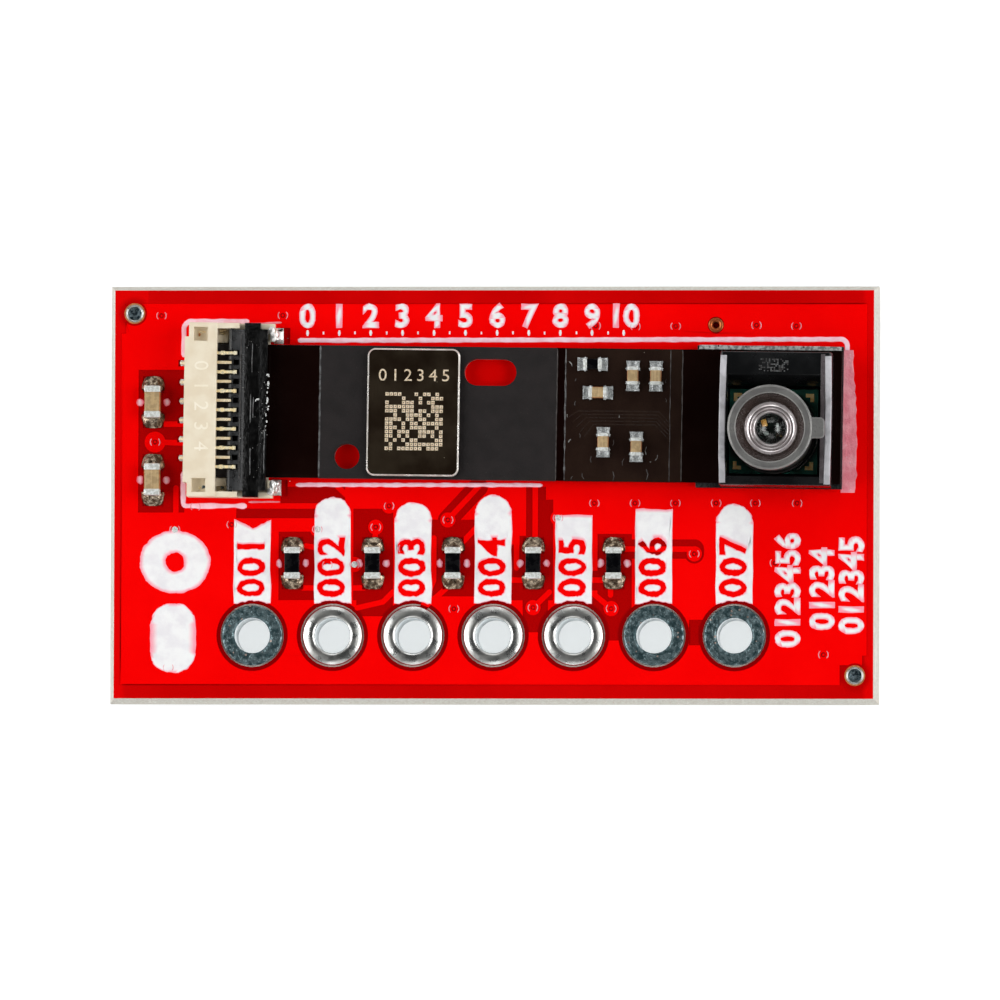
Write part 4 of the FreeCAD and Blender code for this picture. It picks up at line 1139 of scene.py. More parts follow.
for number, top, shape in tagInk["tops"]:
    pin = nodeMiddle(f"pin_sleeve_{number}")
    tag = addBlock(f"pinTag{number}", (tagInk["width"], top - tagInk["foot"], inkSizes["thickness"]),
                   (pin.x, (top + tagInk["foot"]) / 2, inkLevel + inkSizes["thickness"] / 2))
    if shape == "round":
        pickEdges(tag, lambda first, second: isUpright(first, second) and first.y > top - 0.01)
        bpy.ops.mesh.bevel(offset=tagInk["width"] / 2 - 0.002, segments=12, affect="EDGES")
        closeMesh()
    if shape == "notch":
        side = tagInk["width"] * tagInk["notch"]
        cutter = addBlock("notch", (side, side, 0.2), (0, 0, 0))
        moveBy(cutter, 0, 0, 0, math.pi / 4)
        placeHere(cutter, Matrix.Diagonal((1.35, 0.68, 1, 1)))
        moveBy(cutter, pin.x + 0.02, top, inkLevel)
        cutAway(tag, cutter)
    bpy.ops.mesh.primitive_cylinder_add(vertices=64, radius=tagInk["clear"], depth=0.2,
                                        location=(pin.x, pin.y, inkLevel))
    cutAway(tag, bpy.context.object)
    # The digits are made tall enough to cut right through
    digits = addWords("digits", f"00{number}", tagInk["digit"], (pin.x, tagInk["digitLevel"]), turn=math.pi / 2,
                      bold=0.028, gap=1.12)
    lift = Matrix.Translation((0, 0, inkLevel))
    placeHere(digits, lift @ Matrix.Diagonal((1, 1, 8, 1)) @ lift.inverted())
    moveBy(digits, 0, 0, -0.03)
    cutAway(tag, digits)
    finishInk(tag, cuts=4)
print("tags printed")


# A plain ring and capsule on the left: place and size
plainInk = {"disc": (-10.07, -2.14, 1.12, 1.0), "hole": 0.3, "capsule": (-10.12, -4.55, 1.45, 2.2)}
x, y, wide, high = plainInk["disc"]
clearSelection()
bpy.ops.mesh.primitive_cylinder_add(vertices=40, radius=1, depth=inkSizes["thickness"], location=(0, 0, 0))
disc = bpy.context.object
disc.name = "printedRing"
placeHere(disc, Matrix.Diagonal((wide, high, 1, 1)))
moveBy(disc, x, y, inkLevel + inkSizes["thickness"] / 2)
clearSelection()
bpy.ops.mesh.primitive_cylinder_add(vertices=32, radius=plainInk["hole"], depth=0.2, location=(x, y, inkLevel))
cutAway(disc, bpy.context.object)
finishInk(disc)
x, y, wide, high = plainInk["capsule"]
capsule = addBlock("printedCapsule", (wide, high, inkSizes["thickness"]), (x, y, inkLevel + inkSizes["thickness"] / 2))
pickEdges(capsule, isUpright)
bpy.ops.mesh.bevel(offset=wide / 2 - 0.05, segments=8, affect="EDGES")
closeMesh()
finishInk(capsule)

# A plain scale along the top, with a longer tick at each number
scaleInk = {"first": -5.9, "pitch": 1.0, "count": 11, "digit": 0.7, "level": 5.6, "tickLevel": 5.1, "tick": 0.1,
            "long": 0.09, "short": 0.045, "rim": 0.035, "wander": 0.012}
marks = []
for index in range(scaleInk["count"]):
    x = scaleInk["first"] + index * scaleInk["pitch"]
    marks.append(addWords("mark", str(index), scaleInk["digit"], (x, scaleInk["level"]), bold=0.05))
finishInk(joinPieces("printedScaleNumbers", marks), cuts=1, rimReach=scaleInk["rim"], wander=scaleInk["wander"])
ticks = []
for index in range(2 * scaleInk["count"] - 1):
    x = scaleInk["first"] + index * scaleInk["pitch"] / 2
    half, level = scaleInk["long" if index % 2 == 0 else "short"], scaleInk["tickLevel"]
    ticks.append(addInkLine("tick", [(x, level - half), (x, level + half)], scaleInk["tick"], "silkWhite", seed=index))
finishPiece(joinPieces("printedScaleTicks", ticks), angle=60)

# Rows of counting digits at the right: words and place
rowInk = {"digit": 0.74, "rows": (("0123456", 9.34, -3.02), ("01234", 10.42, -2.98), ("012345", 11.35, -2.86))}
rows = [addWords("row", words, rowInk["digit"], (x, y), turn=math.pi / 2, bold=0.05) for words, x, y in rowInk["rows"]]
finishInk(joinPieces("printedRows", rows), cuts=1, rimReach=scaleInk["rim"], wander=scaleInk["wander"])

# Small ovals beside each board chip
ovalInk = {"aside": 0.42, "wide": 0.11, "high": 0.135, "lift": 0.004}
ovals = []
for node in [f"{chips[0]}_{index + 1}" for chips in boardChips for index in range(chips[1])]:
    middle = nodeMiddle(node)
    for side in (-1, 1):
        clearSelection()
        bpy.ops.mesh.primitive_cylinder_add(vertices=20, radius=1, depth=inkSizes["thickness"], location=(0, 0, 0))
        oval = bpy.context.object
        placeHere(oval, Matrix.Diagonal((ovalInk["wide"], ovalInk["high"], 1, 1)))
        moveBy(oval, middle.x + side * ovalInk["aside"], middle.y,
               boardTop + inkSizes["thickness"] / 2 + ovalInk["lift"])
        ovals.append(oval)
finishInk(joinPieces("printedOvals", ovals), "silkPink", cuts=1, wander=0.02, rimReach=0.06)
print("ink printed")

viaLooks = {
    "viaRed": {
        "colour": tint(176, 0, 2), "second": tint(128, 0, 2), "patches": (0.05, 0.4, 0.6), "rough": (0.5, 0.6),
        "specular": 0.05, "grain": (0.03, 0.1),
    },
    "plugTin": {
        "colour": tint(150, 168, 178), "second": tint(46, 62, 72), "patches": (0.08, 0.4, 0.6), "metal": 1,
        "rough": (0.3, 0.5), "grain": (0.05, 0.5),
    },
    "flakeWhite": {
        "colour": tint(226, 228, 226), "second": tint(170, 172, 170), "patches": (0.05, 0.35, 0.65),
        "rough": (0.3, 0.5), "grain": (0.04, 0.3),
    },
}
addFinishes(viaLooks)

# Dimples of the vias under the mask: the two pale arcs at each are painted highlights on the dimple's rim, in the faint
# ink finish, and the dark red pit in the middle is painted shade. Some are filled with ink and one is open.
viaSizes = {"ring": 0.152, "line": 0.036, "pit": 0.085, "open": (7.01, 5.35),
            "inked": ((-10.08, -1.12), (-5.56, -1.11), (2.04, -0.75), (-4.39, -2.22))}
viaSpots = (
    (-10.72, 1.65), (-10.53, 5.65), (-10.27, -5.48), (-10.08, -1.12), (-9.43, -0.39), (-8.28, -0.96),
    (-6.69, 5.66), (-5.56, -1.11), (-5.25, -2.24), (-4.39, -2.22), (-3.72, -1.04), (-3.3, -0.37),
    (-2.85, -1.72), (-1.44, -0.81), (-1.24, -3.62), (1.26, -3.58), (2.04, -0.75), (3.19, -0.28),
    (3.21, 5.32), (3.73, -3.61), (4.47, -0.28), (4.47, 5.3), (5.74, 5.31), (5.75, -0.28), (6.35, -1.88),
    (7.03, -0.28), (8.27, -0.28), (8.29, 5.34), (8.9, -2.17), (9.55, 5.31), (9.59, -0.28), (10.43, -5.06),
)
arcs, pits = [], []
wide = viaSizes["pit"]
pitOutline = [(wide, inkLevel - 0.004), (wide - 0.01, inkLevel + 0.004), (0.05, inkLevel + 0.002),
              (0.03, inkLevel - 0.001), (0, inkLevel - 0.002)]
dotOutline = [(0.1, inkLevel), (0.1, inkLevel + 0.014), (0.085, inkLevel + 0.022), (0.05, inkLevel + 0.026),
              (0, inkLevel + 0.027)]
for index, (x, y) in enumerate(viaSpots):
    for turn in (0, 180):
        path = arcPath(x, y, viaSizes["ring"], turn - 48, turn + 48, 6)
        arcs.append(addInkLine("arc", path, viaSizes["line"], "silkFaint", seed=index, step=0.03, thick=0.03))
    pits.append(turnedShape("pit", pitOutline, steps=20, middle=(x, y)))
for x, y in viaSizes["inked"]:
    blob = turnedShape("inkDot", dotOutline, steps=20, middle=(x, y))
    setFinish(blob, "flakeWhite")
    arcs.append(blob)
finishPiece(joinPieces("viaRimLights", arcs), angle=60)
finishPiece(joinPieces("viaPits", pits), "viaRed", angle=60)
deep = 1.3  # level at which the open holes are closed
openOutline = [(0.125, deep), (0.125, boardTop - 0.01), (0.14, boardTop + 0.004), (0.22, boardTop + 0.006),
               (0.235, boardTop - 0.005), (0.235, 1.56), (0.2, deep), (0.125, deep)]
openVia = turnedShape("openVia", openOutline, steps=40, middle=viaSizes["open"])
finishPiece(openVia, "bareCopper", angle=60)
# The open hole is closed lower down by a well of the same dark red: painted shade of the hole
well = turnedShape("openViaWell", [(0.124, deep + 0.02), (0.06, deep), (0, deep)], steps=32, middle=viaSizes["open"])
finishPiece(well, "viaRed", angle=60)
plugOutline = [(0.239, deep - 0.02), (0.235, deep), (0.15, deep + 0.03), (0.07, deep + 0.01), (0, deep + 0.02)]
for node in cornerSleeves:
    plug = turnedShape(node.replace("corner_sleeve_", "cornerPlug"), plugOutline, steps=32, middle=nodeMiddle(node).xy)
    for corner in plug.data.vertices:
        corner.co.z += 0.03 * noise.noise(corner.co * 14)
    finishPiece(plug, "plugTin", angle=60)
print("vias done")


lensLooks = {
    "coneDark": {
        "colour": tint(54, 42, 38), "second": tint(44, 34, 30), "patches": (0.3, 0.35, 0.65), "rough": (0.2, 0.3),
        "grain": (0.08, 0.06),
    },
    "ringPale": {
        "colour": tint(146, 145, 142), "second": tint(120, 119, 117), "patches": (0.5, 0.35, 0.65), "metal": 0.2,
        "rough": (0.2, 0.3), "grain": (0.06, 0.1),
    },
    "lensRim": {
        "colour": tint(252, 246, 246), "second": tint(230, 220, 220), "patches": (0.25, 0.35, 0.65), "metal": 0.7,
        "rough": (0.12, 0.22), "grain": (0.05, 0.1),
    },
    "dieGold": {
        "colour": tint(255, 200, 104), "second": tint(214, 140, 60), "patches": (0.05, 0.4, 0.6), "metal": 0.5,
        "rough": (0.3, 0.4), "grain": (0.03, 0.3),
    },
    "dieGreen": {
        "colour": tint(6, 26, 20), "second": tint(3, 14, 12), "patches": (0.2, 0.4, 0.6), "rough": (0.2, 0.3),
        "grain": (0.05, 0.1),
    },
    "diePale": {
        "colour": tint(196, 206, 204), "second": tint(130, 140, 138), "patches": (0.1, 0.4, 0.6),
        "rough": (0.4, 0.5), "grain": (0.04, 0.2),
    },
}
addFinishes(lensLooks)

# Clear lens plastic
clearLook = {"tones": ((0.96, 0.97, 0.95, 1), (0.9, 0.92, 0.9, 1)), "rough": (0.01, 0.04), "bend": 1.49}
glass = bpy.data.materials.new("lensClear")
glass.use_nodes = True
tree = glass.node_tree
shader = tree.nodes["Principled BSDF"]
shader.inputs["Transmission Weight"].default_value = 1
shader.inputs["IOR"].default_value = clearLook["bend"]
haze = placeGroup(tree, cloudyTone, Size=0.3, Low=0.3, High=0.7).outputs["Mask"]
link(tree, mixColours(tree, haze, *clearLook["tones"]), shader.inputs["Base Color"])
varyRoughness(tree, haze, clearLook["rough"], shader)
finishes["lensClear"] = glass

# Turned parts round the lens: outlines of radius and level above the board
lensSizes = {
    "dome": 0.47, "domeRise": 0.2, "domeSeat": 2.44,
    "cone": [(0.82, 2.3), (1.06, 2.3), (1.075, 3.1), (1.07, 3.15), (1.06, 3.15), (1.045, 3.1), (1.0, 2.95),
             (0.93, 2.76), (0.87, 2.66), (0.82, 2.6), (0.82, 2.3)],
    "steps": [(0.84, 2.34), (0.84, 2.62), (0.82, 2.63), (0.79, 2.58), (0.76, 2.535), (0.73, 2.51), (0.705, 2.505),
              (0.695, 2.48), (0.675, 2.49), (0.655, 2.52), (0.635, 2.515), (0.615, 2.49), (0.6, 2.47), (0.59, 2.455),
              (0.575, 2.48), (0.555, 2.5), (0.53, 2.49), (0.5, 2.46), (0.48, 2.43), (0.47, 2.34), (0.84, 2.34)],
    "floor": [(0.465, 2.3), (0.465, 2.35), (0.4, 2.355), (0.3, 2.345), (0.12, 2.35), (0, 2.35)],
    "lips": ((1.27, 1.335, 0.024), (1.075, 1.115, 0.022)),  # inner and outer radius, rise
    "grooves": ((0.695, 2.482), (0.59, 2.457)), "grooveHalf": 0.009,
}
axis = (sensorPlace.inverted() @ nodeMiddle("lens")).xy
flangeTop = nodeBox("lens_ring")[1].z - boardTop


def turnedOnAxis(name, outline, steps):
    piece = turnedShape(name, outline, steps=steps, middle=axis)
    placeHere(piece, sensorPlace)
    return piece


cone = turnedOnAxis("lensCone", lensSizes["cone"], 72)
finishPiece(cone, "coneDark", replaces=("lens_cone",), angle=50)

# Two pale lips on the ring, one at its outer edge and one at its bore, in a paler copy of the ring's grey: painted
# highlight on the lips
lips = []
seat = flangeTop - 0.03
for low, high, rise in lensSizes["lips"]:
    lipOutline = [(low, seat), (low + 0.008, seat + rise * 0.7), ((low + high) / 2, seat + rise),
                  (high - 0.008, seat + rise * 0.7), (high, seat), (low, seat)]
    lips.append(turnedOnAxis("lip", lipOutline, 96))
finishPiece(joinPieces("lensFlangeLips", lips), "ringPale", angle=70)

# The stepped edge round the dome is near white: partly a painted highlight of its bright reflection
finishPiece(turnedOnAxis("lensSteppedEdge", lensSizes["steps"], 72), "lensRim", angle=80)
# Thin dark rings across the stepped edge: painted shade of its grooves
grooves = []
half = lensSizes["grooveHalf"]
for out, level in lensSizes["grooves"]:
    grooveOutline = [(out - half, level), (out - 0.006, level + 0.008), (out + 0.006, level + 0.008),
                     (out + half, level), (out - half, level)]
    grooves.append(turnedOnAxis("groove", grooveOutline, 72))
finishPiece(joinPieces("lensGrooves", grooves), "coneDark", angle=60)

# The dome is part of a ball
rise, seat, wide = lensSizes["domeRise"], lensSizes["domeSeat"], lensSizes["dome"]
curve = (wide ** 2 + rise ** 2) / (2 * rise)
domeOutline = [(0, seat - 0.05), (wide - 0.03, seat - 0.05), (wide, seat)]
domeOutline += [(wide * part, seat + rise - curve + math.sqrt(curve ** 2 - (wide * part) ** 2))
                for part in (0.96, 0.88, 0.76, 0.62, 0.48, 0.34, 0.2, 0.08, 0)]
finishPiece(turnedOnAxis("lensDome", domeOutline, 64), "lensClear", replaces=("lens",), angle=70)

# What shows under the dome: a dark floor, one gilded die and two pale ones
finishPiece(turnedOnAxis("lensFloor", lensSizes["floor"], 48), "dieGreen", angle=60)
dieSizes = {"level": 2.37, "thick": 0.03, "rounding": 0.012,
            "dieBright": (-0.19, 0.15, 0.15, 0.2, 0.3, "dieGold"),  # place, length, width, turn and finish
            "diePaleA": (-0.12, -0.13, 0.14, 0.1, 0.4, "diePale"),
            "diePaleB": (0.19, 0.04, 0.07, 0.24, 0.2, "diePale")}
for name in ("dieBright", "diePaleA", "diePaleB"):
    u, v, long, wide, turn, finish = dieSizes[name]
    die = addBlock(name, (long, wide, dieSizes["thick"]), (0, 0, dieSizes["level"]), rounding=dieSizes["rounding"])
    moveBy(die, axis.x + u, axis.y + v, 0, turn)
    placeHere(die, sensorPlace)
    finishPiece(die, finish)
print("lens done")

wallLooks = {
    "wallTop": {
        "colour": tint(172, 171, 175), "second": tint(198, 197, 201), "patches": (0.5, 0.35, 0.65),
        "rough": (0.24, 0.36), "grain": (0.08, 0.1),
    },
    "wallInner": {
        "colour": tint(92, 86, 88), "second": tint(66, 60, 62), "patches": (0.4, 0.35, 0.65),
        "rough": (0.24, 0.36), "grain": (0.08, 0.1),
    },
    "marginGrey": {
        "colour": tint(186, 190, 188), "second": tint(110, 112, 112), "patches": (0.12, 0.4, 0.6),
        "rough": (0.25, 0.4), "grain": (0.06, 0.4), "dust": (0.14, 0.2, 0.7, tint(30, 30, 30)),
    },
    "edgeGrey": {
        "colour": tint(96, 98, 98), "second": tint(52, 50, 50), "patches": (0.14, 0.4, 0.6), "rough": (0.3, 0.45),
        "grain": (0.05, 0.2),
    },
    "plateMark": {
        "colour": tint(238, 222, 196), "second": tint(200, 178, 146), "patches": (0.06, 0.4, 0.6), "metal": 0.4,
        "rough": (0.4, 0.55), "grain": (0.03, 0.4),
    },
}
addFinishes(wallLooks)

# Pale strips along the tops of the head's walls, painted highlights of their rounded edges: place aside, clearance at
# the front and rear, width, rise, finish and bow
headTop = nodeBox("head_housing")[1].z - boardTop
headSizes = {"front": -2.23, "rear": 1.97, "strips": {
    "wallStripLeft": (17.09, 0.06, 0.12, 0.2, 0.07, "wallTop", -0.03),
    "wallStripRight": (20.38, 0.04, 0.12, 0.2, 0.07, "wallTop", 0.02),
    "wallStripInner": (20.215, 0.08, 0.06, 0.13, 0.03, "wallInner", 0.0),
}}
for name, (u, clearFront, clearRear, width, rise, finish, bow) in headSizes["strips"].items():
    front, rear = headSizes["front"] + clearFront, headSizes["rear"] - clearRear
    strip = addBlock(name, (width, rear - front, rise), (0, 0, 0))
    pickEdges(strip, lambda first, second: first.z > 0 and second.z > 0)
    bpy.ops.mesh.bevel(offset=min(width, rise) * 0.45, segments=4, affect="EDGES")
    closeMesh()
    openMesh(strip)
    for cut in range(1, 10):
        bpy.ops.mesh.select_all(action="SELECT")
        bpy.ops.mesh.bisect(plane_co=(0, (rear - front) * (cut / 10 - 0.5), 0), plane_no=(0, 1, 0))
    closeMesh()
    for corner in strip.data.vertices:
        along = corner.co.y / ((rear - front) / 2)
        corner.co.x += bow * (1 - along ** 2) + wobble(u, corner.co.y * 1.5, 4, 0.012)
    moveBy(strip, u, (front + rear) / 2, headTop)
    placeHere(strip, sensorPlace)
    finishPiece(strip, finish, angle=60)

# A grey strip along the base plate's margin, ragged on its outer side: a painted reflection of the rear lamp
marginSizes = {"size": (4.5, 0.13, 0.02), "place": (18.48, 2.185), "raggedFrom": 2.2}
baseTop = nodeBox("head_base_plate")[1].z - boardTop
margin = addBlock("basePlateMargin", marginSizes["size"], (*marginSizes["place"], baseTop), rounding=0.006)
subdivideMesh(margin, 6)
for corner in margin.data.vertices:
    if corner.co.y > marginSizes["raggedFrom"]:
        corner.co.y += wobble(corner.co.x * 5, 0, 0, 0.02)
    corner.co.z += 0.01 * noise.noise(corner.co * 7)
placeHere(margin, sensorPlace)
finishPiece(margin, "marginGrey", angle=60)


# A field of small square frames with a seeded choice of which are there, filled where no line is given
def addFrames(name, columns, rows, pitch, share, seed, middle, level, line=0, thick=0.004):
    clearSelection()
    bpy.ops.mesh.primitive_grid_add(x_subdivisions=columns, y_subdivisions=rows, size=1)
    field = bpy.context.object
    field.name = name
    placeHere(field, Matrix.Diagonal((columns * pitch, rows * pitch, 1, 1)))
    draw = random.Random(seed)
    keep = [draw.random() < share for face in field.data.polygons]
    openMesh(field)
    bpy.ops.mesh.select_all(action="DESELECT")
    closeMesh()
    for face, stays in zip(field.data.polygons, keep):
        face.select = not stays
    bpy.ops.object.mode_set(mode="EDIT")
    bpy.ops.mesh.delete(type="FACE")
    bpy.ops.mesh.select_all(action="SELECT")
    bpy.ops.mesh.inset(thickness=pitch * 0.09, use_individual=True)
    bpy.ops.mesh.select_all(action="INVERT")
    bpy.ops.mesh.delete(type="FACE")
    bpy.ops.mesh.select_all(action="SELECT")
    if line:
        bpy.ops.mesh.inset(thickness=line, use_individual=True)
        bpy.ops.mesh.delete(type="FACE")
        bpy.ops.mesh.select_all(action="SELECT")
    bpy.ops.mesh.extrude_region_move(TRANSFORM_OT_translate={"value": (0, 0, thick)})
    bpy.ops.mesh.select_all(action="SELECT")
    bpy.ops.mesh.normals_make_consistent(inside=False)
    closeMesh()
    moveBy(field, middle[0], middle[1], level)
    placeHere(field, sensorPlace)
    return field


# The plate's dots and digits, placed from its middle, and a small field of dots on the head
plateMarks = {"pitch": 0.132, "count": 14, "line": 0.04, "share": 0.64, "dotsAt": (0.03, -0.29),
              "digitsAt": (0.02, 1.15), "digit": 0.385}
headDots = {"columns": 18, "rows": 8, "pitch": 0.052, "share": 0.5, "middle": (18.66, 1.55)}
plateMiddle = (sensorPlace.inverted() @ nodeMiddle("id_plate")).xy
plateLevel = plateTop - boardTop
dots = addFrames("plateDots", plateMarks["count"], plateMarks["count"], plateMarks["pitch"], plateMarks["share"], 11,
                 plateMiddle + Vector(plateMarks["dotsAt"]), plateLevel, line=plateMarks["line"])
finishPiece(dots, "plateMark", angle=60)
digits = addWords("plateDigits", "012345", plateMarks["digit"], (0, 0), bold=0.0, gap=1.42)
moveBy(digits, 0, 0, -inkLevel)
placeHere(digits, Matrix.Diagonal((1.05, 1, 0.5, 1)))
moveBy(digits, *(plateMiddle + Vector(plateMarks["digitsAt"])), plateLevel)
placeHere(digits, sensorPlace)
finishPiece(digits, "plateMark", angle=60)
specks = addFrames("headSpecks", seed=23, level=headTop, **headDots)
finishPiece(specks, "edgeGrey", angle=60)
print("head marks done")

panelLooks = {
    "faintGrey": {
        "colour": tint(62, 58, 56), "second": tint(32, 26, 23), "patches": (0.25, 0.4, 0.62),
        "rough": (0.3, 0.45), "grain": (0.05, 0.15),
    },
    "scuffPale": {
        "colour": tint(150, 150, 146), "second": tint(84, 82, 80), "patches": (0.08, 0.4, 0.6),
        "rough": (0.4, 0.6), "grain": (0.04, 0.3),
    },
    "traceBrown": {
        "colour": tint(44, 33, 27), "second": tint(34, 23, 18), "patches": (0.3, 0.4, 0.6), "rough": (0.18, 0.3),
        "specular": 0.3, "grain": (0.2, 0.04),
    },
}
addFinishes(panelLooks)

# Panels of the flex, each with its own sheen: left end, right end and finish
panelSizes = {"thick": 0.006, "panels": {
    "panelMiddle": (4.25, 11.75, "stiffenerGrey"), "panelBridge": (11.75, 12.03, "flexBlack"),
    "panelChips": (12.03, 15.7, "flexBrown"), "panelHead": (15.7, 20.74, "flexBlack"),
}}
flexTop = nodeBox("flex_circuit")[1].z - boardTop
for name, (left, right, finish) in panelSizes["panels"].items():
    panel = copyNode("flex_circuit", name, joinFlats=False)
    placeHere(panel, sensorPlace.inverted())
    pickFaces(panel, lambda middle, normal: normal.z > 0.9 and middle.z > flexTop - 0.01)
    bpy.ops.mesh.select_all(action="INVERT")
    bpy.ops.mesh.delete(type="FACE")
    for spot, near in ((left, True), (right, False)):
        bpy.ops.mesh.select_all(action="SELECT")
        bpy.ops.mesh.bisect(plane_co=(spot, 0, 0), plane_no=(1, 0, 0), clear_inner=near, clear_outer=not near)
    bpy.ops.mesh.select_all(action="SELECT")
    bpy.ops.mesh.extrude_region_move(TRANSFORM_OT_translate={"value": (0, 0, panelSizes["thick"])})
    closeMesh()
    placeHere(panel, sensorPlace)
    finishPiece(panel, finish, angle=60)
panelTop = flexTop + panelSizes["thick"]


# A line on the sensor's own axes
def addSensorLine(name, path, width, finish, **settings):
    line = addInkLine(name, path, width, finish, **settings)
    placeHere(line, sensorPlace)
    return line


# Pale lines across the flex where its layers end, painted highlights on the steps: place, width, finish and drift
flexLines = {"half": 2.08, "thick": 0.006, "lines": (
    (4.27, 0.05, "edgeGrey", 0.3), (11.76, 0.028, "faintGrey", 0.3), (12.03, 0.042, "edgeGrey", 0.9),
    (15.34, 0.02, "faintGrey", 0.9), (15.72, 0.03, "faintGrey", 0.4), (16.95, 0.03, "faintGrey", 0.5))}
half, thick = flexLines["half"], flexLines["thick"]
edgeLines = [addSensorLine("flexLine", [(u, -half), (u, half)], width, finish, seed=round(u), drift=drift,
                           level=panelTop, thick=thick) for u, width, finish, drift in flexLines["lines"]]
finishPiece(joinPieces("flexEdgeLines", edgeLines), angle=60)

# Tracks under the flex's film, bent at both ends
trackSizes = {"count": 5, "pitch": 0.105, "width": 0.032, "start": 12.45, "bend": 15.0, "top": 0.12, "run": 0.42}
tracks = []
for index in range(trackSizes["count"]):
    v, run = trackSizes["top"] - index * trackSizes["pitch"], trackSizes["run"]
    bend = trackSizes["bend"] - 0.03 * index
    begin = trackSizes["start"] + 0.12 * index
    path = [(begin - 0.3, v - 0.2 - 0.05 * index), (begin, v), (bend, v), (bend + run, v - run * 1.05)]
    tracks.append(addSensorLine("track", path, trackSizes["width"], "traceBrown", seed=index, drift=0.2, level=panelTop,
                                thick=thick))
finishPiece(joinPieces("flexTracks", tracks), angle=60)

# Small curved scuffs: place, length, turn in degrees
scuffSizes = {"width": 0.022, "bow": 0.14, "step": 0.04, "scuffs": (
    (2.45, 4.1, 0.18, 120), (2.6, 2.85, 0.14, 80), (2.74, 1.83, 0.16, 95), (2.42, 1.66, 0.14, 60),
    (3.79, 1.6, 0.2, 85), (4.12, 1.0, 0.24, 75), (5.16, 1.13, 0.2, 65), (3.11, 1.08, 0.2, 88),
    (3.79, 0.55, 0.3, 90), (4.85, 1.35, 0.26, 88), (4.85, 0.6, 0.34, 90), (2.85, 0.55, 0.2, 110),
    (3.98, 2.45, 0.12, 90), (5.46, 3.55, 0.12, 85), (5.46, 2.95, 0.12, 100), (2.35, 2.45, 0.1, 100),
    (2.6, 3.6, 0.1, 70), (2.5, 0.5, 0.12, 60), (4.98, 1.0, 0.05, 0), (-6.5, 4.9, 0.05, 0),
)}
lines = []
for index, (x, y, long, turn) in enumerate(scuffSizes["scuffs"]):
    way = Vector((math.cos(math.radians(turn)), math.sin(math.radians(turn))))
    aside = Vector((-way.y, way.x)) * long * (scuffSizes["bow"] if index % 2 else -scuffSizes["bow"])
    start = Vector((x, y)) - way * long / 2
    path = [tuple(start), tuple(start + way * long / 2 + aside), tuple(start + way * long)]
    lines.append(addInkLine("scuff", path, scuffSizes["width"], "faintGrey" if index % 3 else "scuffPale", seed=index,
                            step=scuffSizes["step"], drift=0.8, level=boardTop + panelTop, thick=thick))
finishPiece(joinPieces("flexScuffs", lines), angle=60)
print("flex panels done")

# Wear on the latch: scratches along it (place, ends, width, finish), and flakes chipped off its edges
latchWear = {
    "scratches": ((2.14, 1.2, 2.1, 0.03, "edgeGrey"), (2.11, -0.4, 0.5, 0.03, "edgeGrey"),
                  (2.19, -0.25, 0.4, 0.025, "edgeGrey"), (2.12, -2.05, -1.2, 0.03, "edgeGrey"),
                  (1.78, -2.2, 2.4, 0.022, "faintGrey"), (2.56, -2.0, -0.55, 0.03, "edgeGrey")),
    "flakes": ((2.64, 1.12, 0.05, 0.03), (2.67, 1.07, 0.03, 0.02), (2.66, 0.84, 0.035, 0.075), (2.65, 0.7, 0.025, 0.03),
               (2.63, 0.56, 0.02, 0.04), (2.64, 0.32, 0.03, 0.09), (2.62, 0.22, 0.02, 0.03), (2.66, 0.03, 0.03, 0.04),
               (2.72, 0.12, 0.03, 0.015), (2.6, -0.15, 0.02, 0.05), (2.63, -0.36, 0.025, 0.04), (2.6, -0.5, 0.02, 0.02),
               (2.33, 0.34, 0.05, 0.035), (2.27, 0.3, 0.02, 0.03), (1.86, 0.7, 0.03, 0.018), (2.1, 2.16, 0.016, 0.014),
               (2.2, -1.2, 0.016, 0.02), (1.8, -0.9, 0.02, 0.015)),
    "bright": 14, "edge": 2.68, "thick": 0.012, "alongEdge": 16, "onTop": 22,
}
latchTop = nodeBox("connector_latch")[1].z - boardTop
wear = [addSensorLine("wear", [(u, v0), (u, v1)], width, finish, seed=round(v0 * 7), drift=0.7, level=latchTop,
                      thick=0.008) for u, v0, v1, width, finish in latchWear["scratches"]]
flakes = list(latchWear["flakes"])
draw = random.Random(9)
flakes += [(2.62 + draw.uniform(-0.14, 0.05), draw.uniform(-0.9, 1.3), draw.uniform(0.008, 0.018),
            draw.uniform(0.008, 0.025)) for count in range(latchWear["alongEdge"])]
flakes += [(draw.uniform(1.85, 2.55), draw.uniform(-2.2, 2.2), draw.uniform(0.006, 0.013), draw.uniform(0.006, 0.013))
           for count in range(latchWear["onTop"])]
for index, (u, v, wide, high) in enumerate(flakes):
    clearSelection()
    bpy.ops.mesh.primitive_ico_sphere_add(subdivisions=2, radius=1, location=(0, 0, 0))
    chip = bpy.context.object
    openMesh(chip)
    bpy.ops.mesh.select_all(action="SELECT")
    bpy.ops.transform.vertex_random(offset=0.35, seed=index)
    closeMesh()
    placeHere(chip, Matrix.Diagonal((wide, high, latchWear["thick"], 1)))
    moveBy(chip, min(u, latchWear["edge"]), v, latchTop)
    placeHere(chip, sensorPlace)
    setFinish(chip, "flakeWhite" if index < latchWear["bright"] else "scuffPale")
    wear.append(chip)
finishPiece(joinPieces("latchWear", wear), body="latch", angle=60)
print("latch wear done")

figureLooks = {
    "creamPale": {
        "colour": tint(244, 236, 218), "second": tint(238, 228, 206), "patches": (0.5, 0.35, 0.65),
        "rough": (0.45, 0.6), "grain": (0.06, 0.15),
    },
}
addFinishes(figureLooks)

